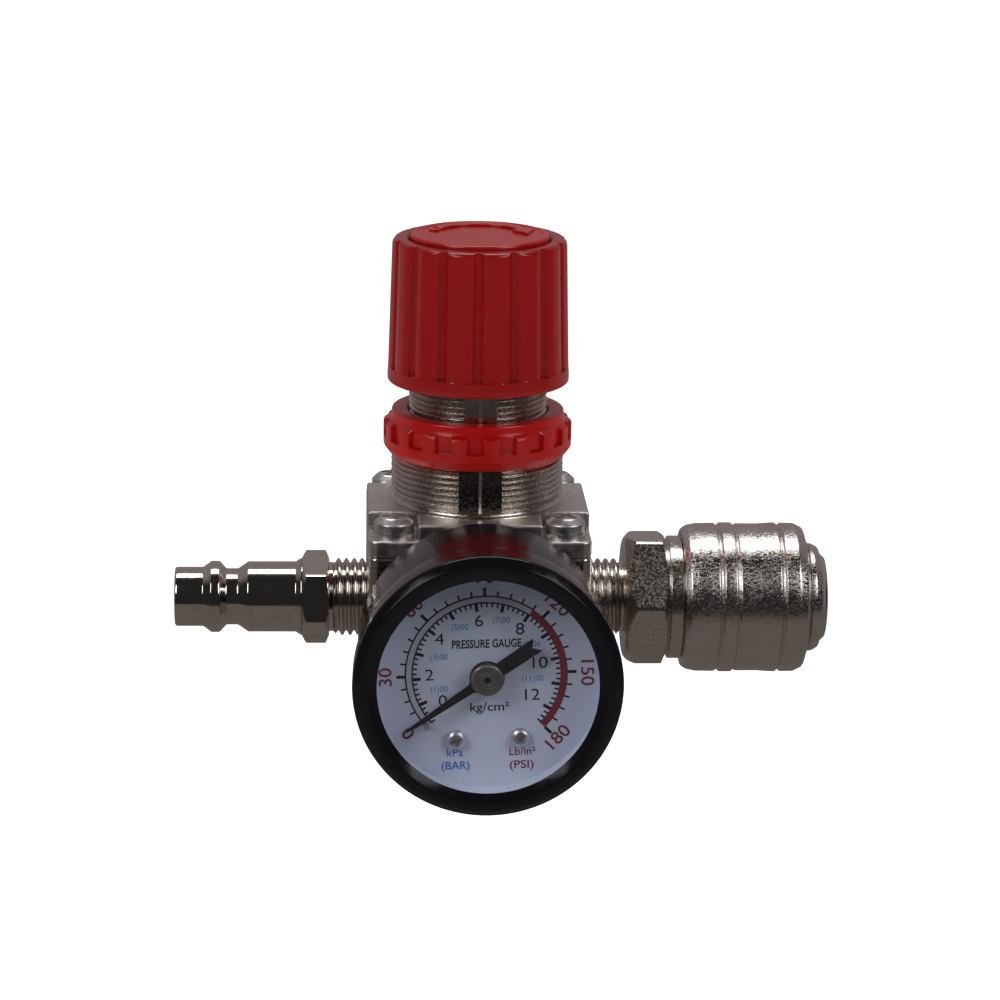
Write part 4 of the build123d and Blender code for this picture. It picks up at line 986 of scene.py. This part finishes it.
piece("hose_plug", inlet_plug_mesh(), "housing", "nickel_turned", TURNED, "inlet_plug")
piece("coupler_base", adapter_mesh(), "housing", "nickel_casting", CUT, "coupler_adapter")
piece("sleeve_shell", sleeve_mesh(), "sleeve", "nickel_turned", SLEEVE_PLATE, "coupler_sleeve")
piece("barrel_shell", barrel_mesh(), "housing", "nickel_turned", TURNED, "coupler_barrel")
piece("stop_ring", stop_mesh(), "housing", "nickel_turned", SLEEVE_PLATE, "sleeve_stop")


# ================================================================ gauge
WINDOW_R = 17.5
CASE_IN_R = 19.5
STEM_HOLE_R = 5.3


def bezel_mesh():
    """The pressed bezel, rolled over the case's rim."""
    inside_r, lip_back = CASE_R + 0.05, LENS_FRONT - 0.05
    outline = rounded(
        (BEZEL_BACK, inside_r, 0.1), (BEZEL_BACK, BEZEL_R - 0.15, 0.35), (-52.7, BEZEL_R, 0.9),
        (BEZEL_FRONT, 20.15, 0.7), (BEZEL_FRONT, 18.9, 0.9), (-53.05, WINDOW_R, 0.15), (lip_back, WINDOW_R),
        (lip_back, inside_r), steps=6,
    )
    return spun("bezel_ring", "Y", outline, around(180))


def case_mesh():
    """The case, a cup with a hole in its back for the stem."""
    inside = CASE_BACK - 1.0
    outline = rounded(
        (CASE_BACK, STEM_HOLE_R, 0.2), (CASE_BACK, CASE_R, 1.6), (CASE_FRONT, CASE_R, 0.1),
        (CASE_FRONT, CASE_IN_R, 0.1), (inside, CASE_IN_R, 0.8), (inside, STEM_HOLE_R), steps=6,
    )
    return spun("case_cup", "Y", outline, around(150))


def lens_mesh():
    """The window, very slightly domed in front."""
    outline = rounded((LENS_BACK, 0), (LENS_BACK, LENS_R, 0.2), (LENS_FRONT + 0.12, LENS_R, 0.3),
                      (LENS_FRONT, LENS_R * 0.5, 9.0), (LENS_FRONT, 0), closed=False, steps=8)
    return spun("lens_disc", "Y", outline, around(120), closed=False)


def hub_mesh():
    """The pointer's hub, a turned disc with fine rings and a small centre hole."""
    hole_r, ring_floor = 0.55, HUB_FRONT + 0.05
    outline = rounded(
        (HUB_BACK, hole_r), (HUB_BACK, HUB_R, 0.15), (HUB_FRONT + 0.1, HUB_R, 0.45), (HUB_FRONT, 2.0, 0.1),
        (HUB_FRONT, 1.45), (ring_floor, 1.4), (HUB_FRONT, 1.35), (HUB_FRONT, 0.95), (ring_floor, 0.9),
        (HUB_FRONT, 0.85), (HUB_FRONT, hole_r, 0.1), steps=4,
    )
    return spun("hub_disc", "Y", outline, around(72))


BOSS_R = 2.78


def pointer_mesh():
    """The pointer: a long taper to its tip, a round boss, and a broad tail with a notch."""
    boss = [polar(BOSS_R, 156 - 12 * step) for step in range(12)]
    upper = [(-15.4, 0.12), (-13.5, 0.3), (-3.0, 0.74), *boss, (9.6, 1.2)]
    corners = upper + [(8.6, 0)] + [(x, -z) for x, z in reversed(upper)]
    mesh = outline_solid("pointer_blade", corners, "Y", POINTER_FRONT, POINTER_BACK)
    mesh.transform(Matrix.Rotation(-(POINTER_TURN - math.pi), 4, "Y"))
    mesh.transform(Matrix.Translation((0, 0, GAUGE_Z * MM)))
    return mesh


piece("bezel_ring", bezel_mesh(), "housing", "black_enamel", BLACK, "gauge_bezel")
piece("case_cup", case_mesh(), "housing", "black_enamel", BLACK, "gauge_case")
piece("lens_disc", lens_mesh(), "housing", "clear_lens", LENS, "gauge_lens")
piece("hub_disc", hub_mesh(), "pointer", "zinc_fastener", HUB_PLATE, "pointer_hub")
even_shading(piece("pointer_blade", pointer_mesh(), "pointer", "pointer_black", POINTER_BLACK, "pointer"))


def onto_dial(mesh, x=0.0, z=0.0, turned=0.0):
    """Takes a mesh drawn upright in X and Y to a place on the dial, which the gauge's roll then turns."""
    mesh.transform(Matrix.Rotation(math.radians(turned), 4, "Z"))
    mesh.transform(Matrix.Translation((x * MM, z * MM, 0)))
    mesh.transform(Matrix.Rotation(DIAL_ROLL, 4, "Z"))
    mesh.transform(Matrix.Rotation(math.radians(90), 4, "X"))
    mesh.transform(Matrix.Translation((0, DIAL_Y * MM, GAUGE_Z * MM)))
    return mesh


DIAL_SCREW_X, DIAL_SCREW_Z = 5.1, -10.5
for number, side in enumerate((-1, 1)):
    screw_name = f"dial_screw_{number + 1}"
    screw = pan_screw(screw_name, 1.55, 1.3, 0.9, 2.6, 0.95, 20 + 25 * number)
    onto_dial(screw, side * DIAL_SCREW_X, DIAL_SCREW_Z)
    piece(screw_name, screw, "housing", "zinc_fastener", ZINC, "dial_screws")

INK_HEIGHT = 0.02
CAPITAL = 0.729             # height of a capital in type of size 1
ARC_OUT, ARC_IN = 12.7, 11.65
ARC_HALF = 0.12             # half the width of the two printed arcs
ZERO_AT = 225               # direction of the scale's start, in degrees
SCALE_END = -45
SCALE_START = 221           # the printed band begins just under the resting pointer
PSI_SPAN = 180
PSI_IN_KILO = 14.223        # pounds per square inch in one kilogram per square centimetre
DANGER = 8                  # the band is red from here, in kg/cm2


def sector(inner, outer, start, end, height):
    """A printed band between two radii and two directions in degrees."""
    steps = max(2, int(abs(end - start) / 2))
    sweep = [start + (end - start) * step / steps for step in range(steps + 1)]
    corners = [polar(outer, degrees) for degrees in sweep]
    corners += [polar(inner, degrees) for degrees in reversed(sweep)]
    return onto_dial(outline_solid("band", corners, "Z", 0.0, height))


def tick(inner, outer, degrees, width):
    """A printed line that points at the dial's centre."""
    half = width / 2
    corners = [(inner, -half), (outer, -half), (outer, half), (inner, half)]
    mesh = outline_solid("tick", corners, "Z", 0.0, INK_HEIGHT * 1.5)
    mesh.transform(Matrix.Rotation(math.radians(degrees), 4, "Z"))
    return onto_dial(mesh)


def words(text, x, z, height, turned=0.0, narrow=1.0, heavy=0.0):
    """Printed words by their middle and the height of a capital."""
    curve = bpy.data.curves.new("words", "FONT")
    curve.body = text
    curve.size = 1.0
    curve.align_x = "CENTER"
    curve.align_y = "CENTER"
    scale = height / CAPITAL * MM
    curve.extrude = INK_HEIGHT * MM / scale
    curve.offset = heavy * MM / scale
    curve.resolution_u = 4
    made = bpy.data.objects.new("words", curve)
    bpy.context.scene.collection.objects.link(made)
    bpy.context.view_layer.update()
    mesh = bpy.data.meshes.new_from_object(made.evaluated_get(bpy.context.evaluated_depsgraph_get()))
    bpy.data.objects.remove(made)
    mesh.transform(Matrix.Diagonal((narrow * scale, scale, scale, 1)))
    return onto_dial(mesh, x, z, turned)


def psi_direction(value):
    """Where a pressure in psi lies on the scale, in degrees."""
    return ZERO_AT - (ZERO_AT - SCALE_END) / PSI_SPAN * value


def kilo_direction(value):
    """Where a pressure in kg/cm2 lies on the scale, in degrees."""
    return psi_direction(value * PSI_IN_KILO)


danger_at = kilo_direction(DANGER)
grey = [sector(ARC_IN + 0.1, ARC_OUT - 0.1, SCALE_START, danger_at, INK_HEIGHT)]
red = [sector(ARC_IN - 0.05, ARC_OUT + 0.05, danger_at, SCALE_END, INK_HEIGHT * 1.2)]
black, blue = [], []
for edge in (ARC_OUT, ARC_IN):
    black.append(sector(edge - ARC_HALF, edge + ARC_HALF, SCALE_START, danger_at, INK_HEIGHT * 1.4))
for step in range(1, 31):
    major = step % 5 == 0
    black.append(tick(ARC_OUT, 14.1 if major else 13.6, psi_direction(6 * step), 0.48 if major else 0.28))
for step in range(1, 64):
    major = step % 5 == 0
    black.append(tick(10.35 if major else 10.95, ARC_IN, kilo_direction(step / 5), 0.52 if major else 0.28))
for value in range(0, PSI_SPAN + 1, 30):
    direction = psi_direction(value)
    x, z = polar(15.4 if value == PSI_SPAN else 15.7, direction)
    if value == 0:
        x, z = -12.45, -9.2
    upright = direction + 90 if value == PSI_SPAN else direction - 90
    red.append(words(str(value), x, z, 2.1, upright, 1.12, 0.03))
KILO_FIGURES = (
    (0, -7.0, -4.2), (2, -9.0, 0.1), (4, -7.2, 5.9), (6, -1.0, 8.7), (8, 5.4, 7.2), (10, 8.2, 1.6),
    (12, 6.9, -3.65),
)
for value, x, z in KILO_FIGURES:
    black.append(words(str(value), x, z, 1.95, narrow=1.14))
KPA_FIGURES = (
    (1, -7.55, -2.2), (3, -7.45, 3.1), (5, -4.0, 7.85), (7, 2.5, 8.75), (9, 7.2, 4.7), (11, 7.25, -0.9),
)
for value, x, z in KPA_FIGURES:
    blue.append(words(f"({value})00", x, z, 1.0, narrow=0.95))
black.append(words("PRESSURE GAUGE", 0.1, 5.0, 1.4, narrow=0.72, heavy=0.045))
black.append(words("kg/cm²", 0.35, -5.4, 1.5, narrow=1.14, heavy=0.015))
blue.append(words("kPa", -5.3, -12.8, 1.35, heavy=0.01))
blue.append(words("(BAR)", -5.2, -14.9, 1.35, heavy=0.02))
red.append(words("Lb/in²", 5.35, -12.9, 1.35, heavy=0.01))
red.append(words("(PSI)", 5.2, -15.05, 1.35, narrow=1.15, heavy=0.02))
for print_name, letters, ink in (("print_black", black, INK_BLACK), ("print_red", red, INK_RED),
                                 ("print_blue", blue, INK_BLUE), ("print_grey", grey, INK_GREY)):
    piece(print_name, joined(print_name, letters), "housing", "dial_white", ink)

# ================================================================ floor, light and camera
FLOOR_HALF = 6.0
FLOOR_Z = -0.16
floor_corners = [(x * FLOOR_HALF, y * FLOOR_HALF, FLOOR_Z) for x, y in ((-1, -1), (1, -1), (1, 1), (-1, 1))]
floor_mesh = bpy.data.meshes.new("floor")
floor_mesh.from_pydata(floor_corners, [], [(0, 1, 2, 3)])
floor_finish = Finish("floor_white", (0.9, 0.9, 0.9), 0.0, 0.9)
floor_finish.put("Emission Color", (1.0, 1.0, 1.0, 1.0))
floor_finish.put("Emission Strength", 1.0)
floor_mesh.materials.append(floor_finish.material)
floor = bpy.data.objects.new("floor", floor_mesh)
bpy.context.scene.collection.objects.link(floor)
floor.visible_glossy = False
floor.visible_transmission = False


def world_light():
    """A dim studio round the object: dark in front, grey behind, and a grey-brown table below."""
    world = bpy.data.worlds.new("studio")
    bpy.context.scene.world = world
    world.use_nodes = True
    tree = world.node_tree

    def ramp(value, low, high):
        inputs = {"Value": value, "From Min": low, "From Max": high}
        return add_node(tree, "MapRange", inputs, interpolation_type="SMOOTHSTEP").outputs["Result"]

    def mix(share, first, second):
        return add_node(tree, "MixRGB", {"Fac": share, "Color1": first, "Color2": second}).outputs["Color"]

    toward = add_node(tree, "TexCoord", {}).outputs["Generated"]
    way = add_node(tree, "SeparateXYZ", {"Vector": toward}).outputs
    color = mix(ramp(way["Y"], -0.1, 0.35), (0.022, 0.02, 0.021, 1), (0.24, 0.21, 0.215, 1))
    color = mix(ramp(way["Z"], -0.235, -0.275), color, (0.15, 0.13, 0.12, 1))
    color = mix(add_node(tree, "LightPath", {}).outputs["Is Camera Ray"], color, (1.0, 1.0, 1.0, 1))
    tree.links.new(color, tree.nodes["Background"].inputs["Color"])


def softbox(name, at, target, wide, tall, radiance):
    """An area lamp of even brightness."""
    lamp = bpy.data.lights.new(name, "AREA")
    lamp.shape = "RECTANGLE"
    lamp.size = wide
    lamp.size_y = tall
    lamp.energy = radiance * math.pi * wide * tall
    made = bpy.data.objects.new(name, lamp)
    bpy.context.scene.collection.objects.link(made)
    made.location = at
    made.rotation_euler = (Vector(target) - Vector(at)).to_track_quat("-Z", "Y").to_euler()


world_light()
CENTRE = (0.0, 0.0, 0.02)
softbox("lamp_over", (0.0, 0.17, 0.62), CENTRE, 0.55, 0.2, 5.5)
softbox("lamp_left", (-0.62, -0.55, 0.6), CENTRE, 0.4, 0.5, 4.6)
softbox("lamp_right", (0.62, -0.55, 0.6), CENTRE, 0.4, 0.5, 4.6)

CAMERA_AT = (-0.02535, -0.5997, 0.17705)
YAW, PITCH, ROLL = math.radians(2.80), math.radians(14.92), math.radians(0.84)
ahead = Vector((math.sin(YAW) * math.cos(PITCH), math.cos(YAW) * math.cos(PITCH), -math.sin(PITCH)))
level = Vector((math.cos(YAW), -math.sin(YAW), 0.0))
upward = level.cross(ahead)
right = level * math.cos(ROLL) + upward * math.sin(ROLL)
above = upward * math.cos(ROLL) - level * math.sin(ROLL)
camera_data = bpy.data.cameras.new("camera")
camera_data.lens = 131.9
camera_data.sensor_width = 36.0
camera = bpy.data.objects.new("camera", camera_data)
bpy.context.scene.collection.objects.link(camera)
camera.matrix_world = Matrix((right, above, -ahead)).transposed().to_4x4()
camera.location = CAMERA_AT
bpy.context.scene.camera = camera
bpy.context.scene.view_settings.view_transform = "Standard"
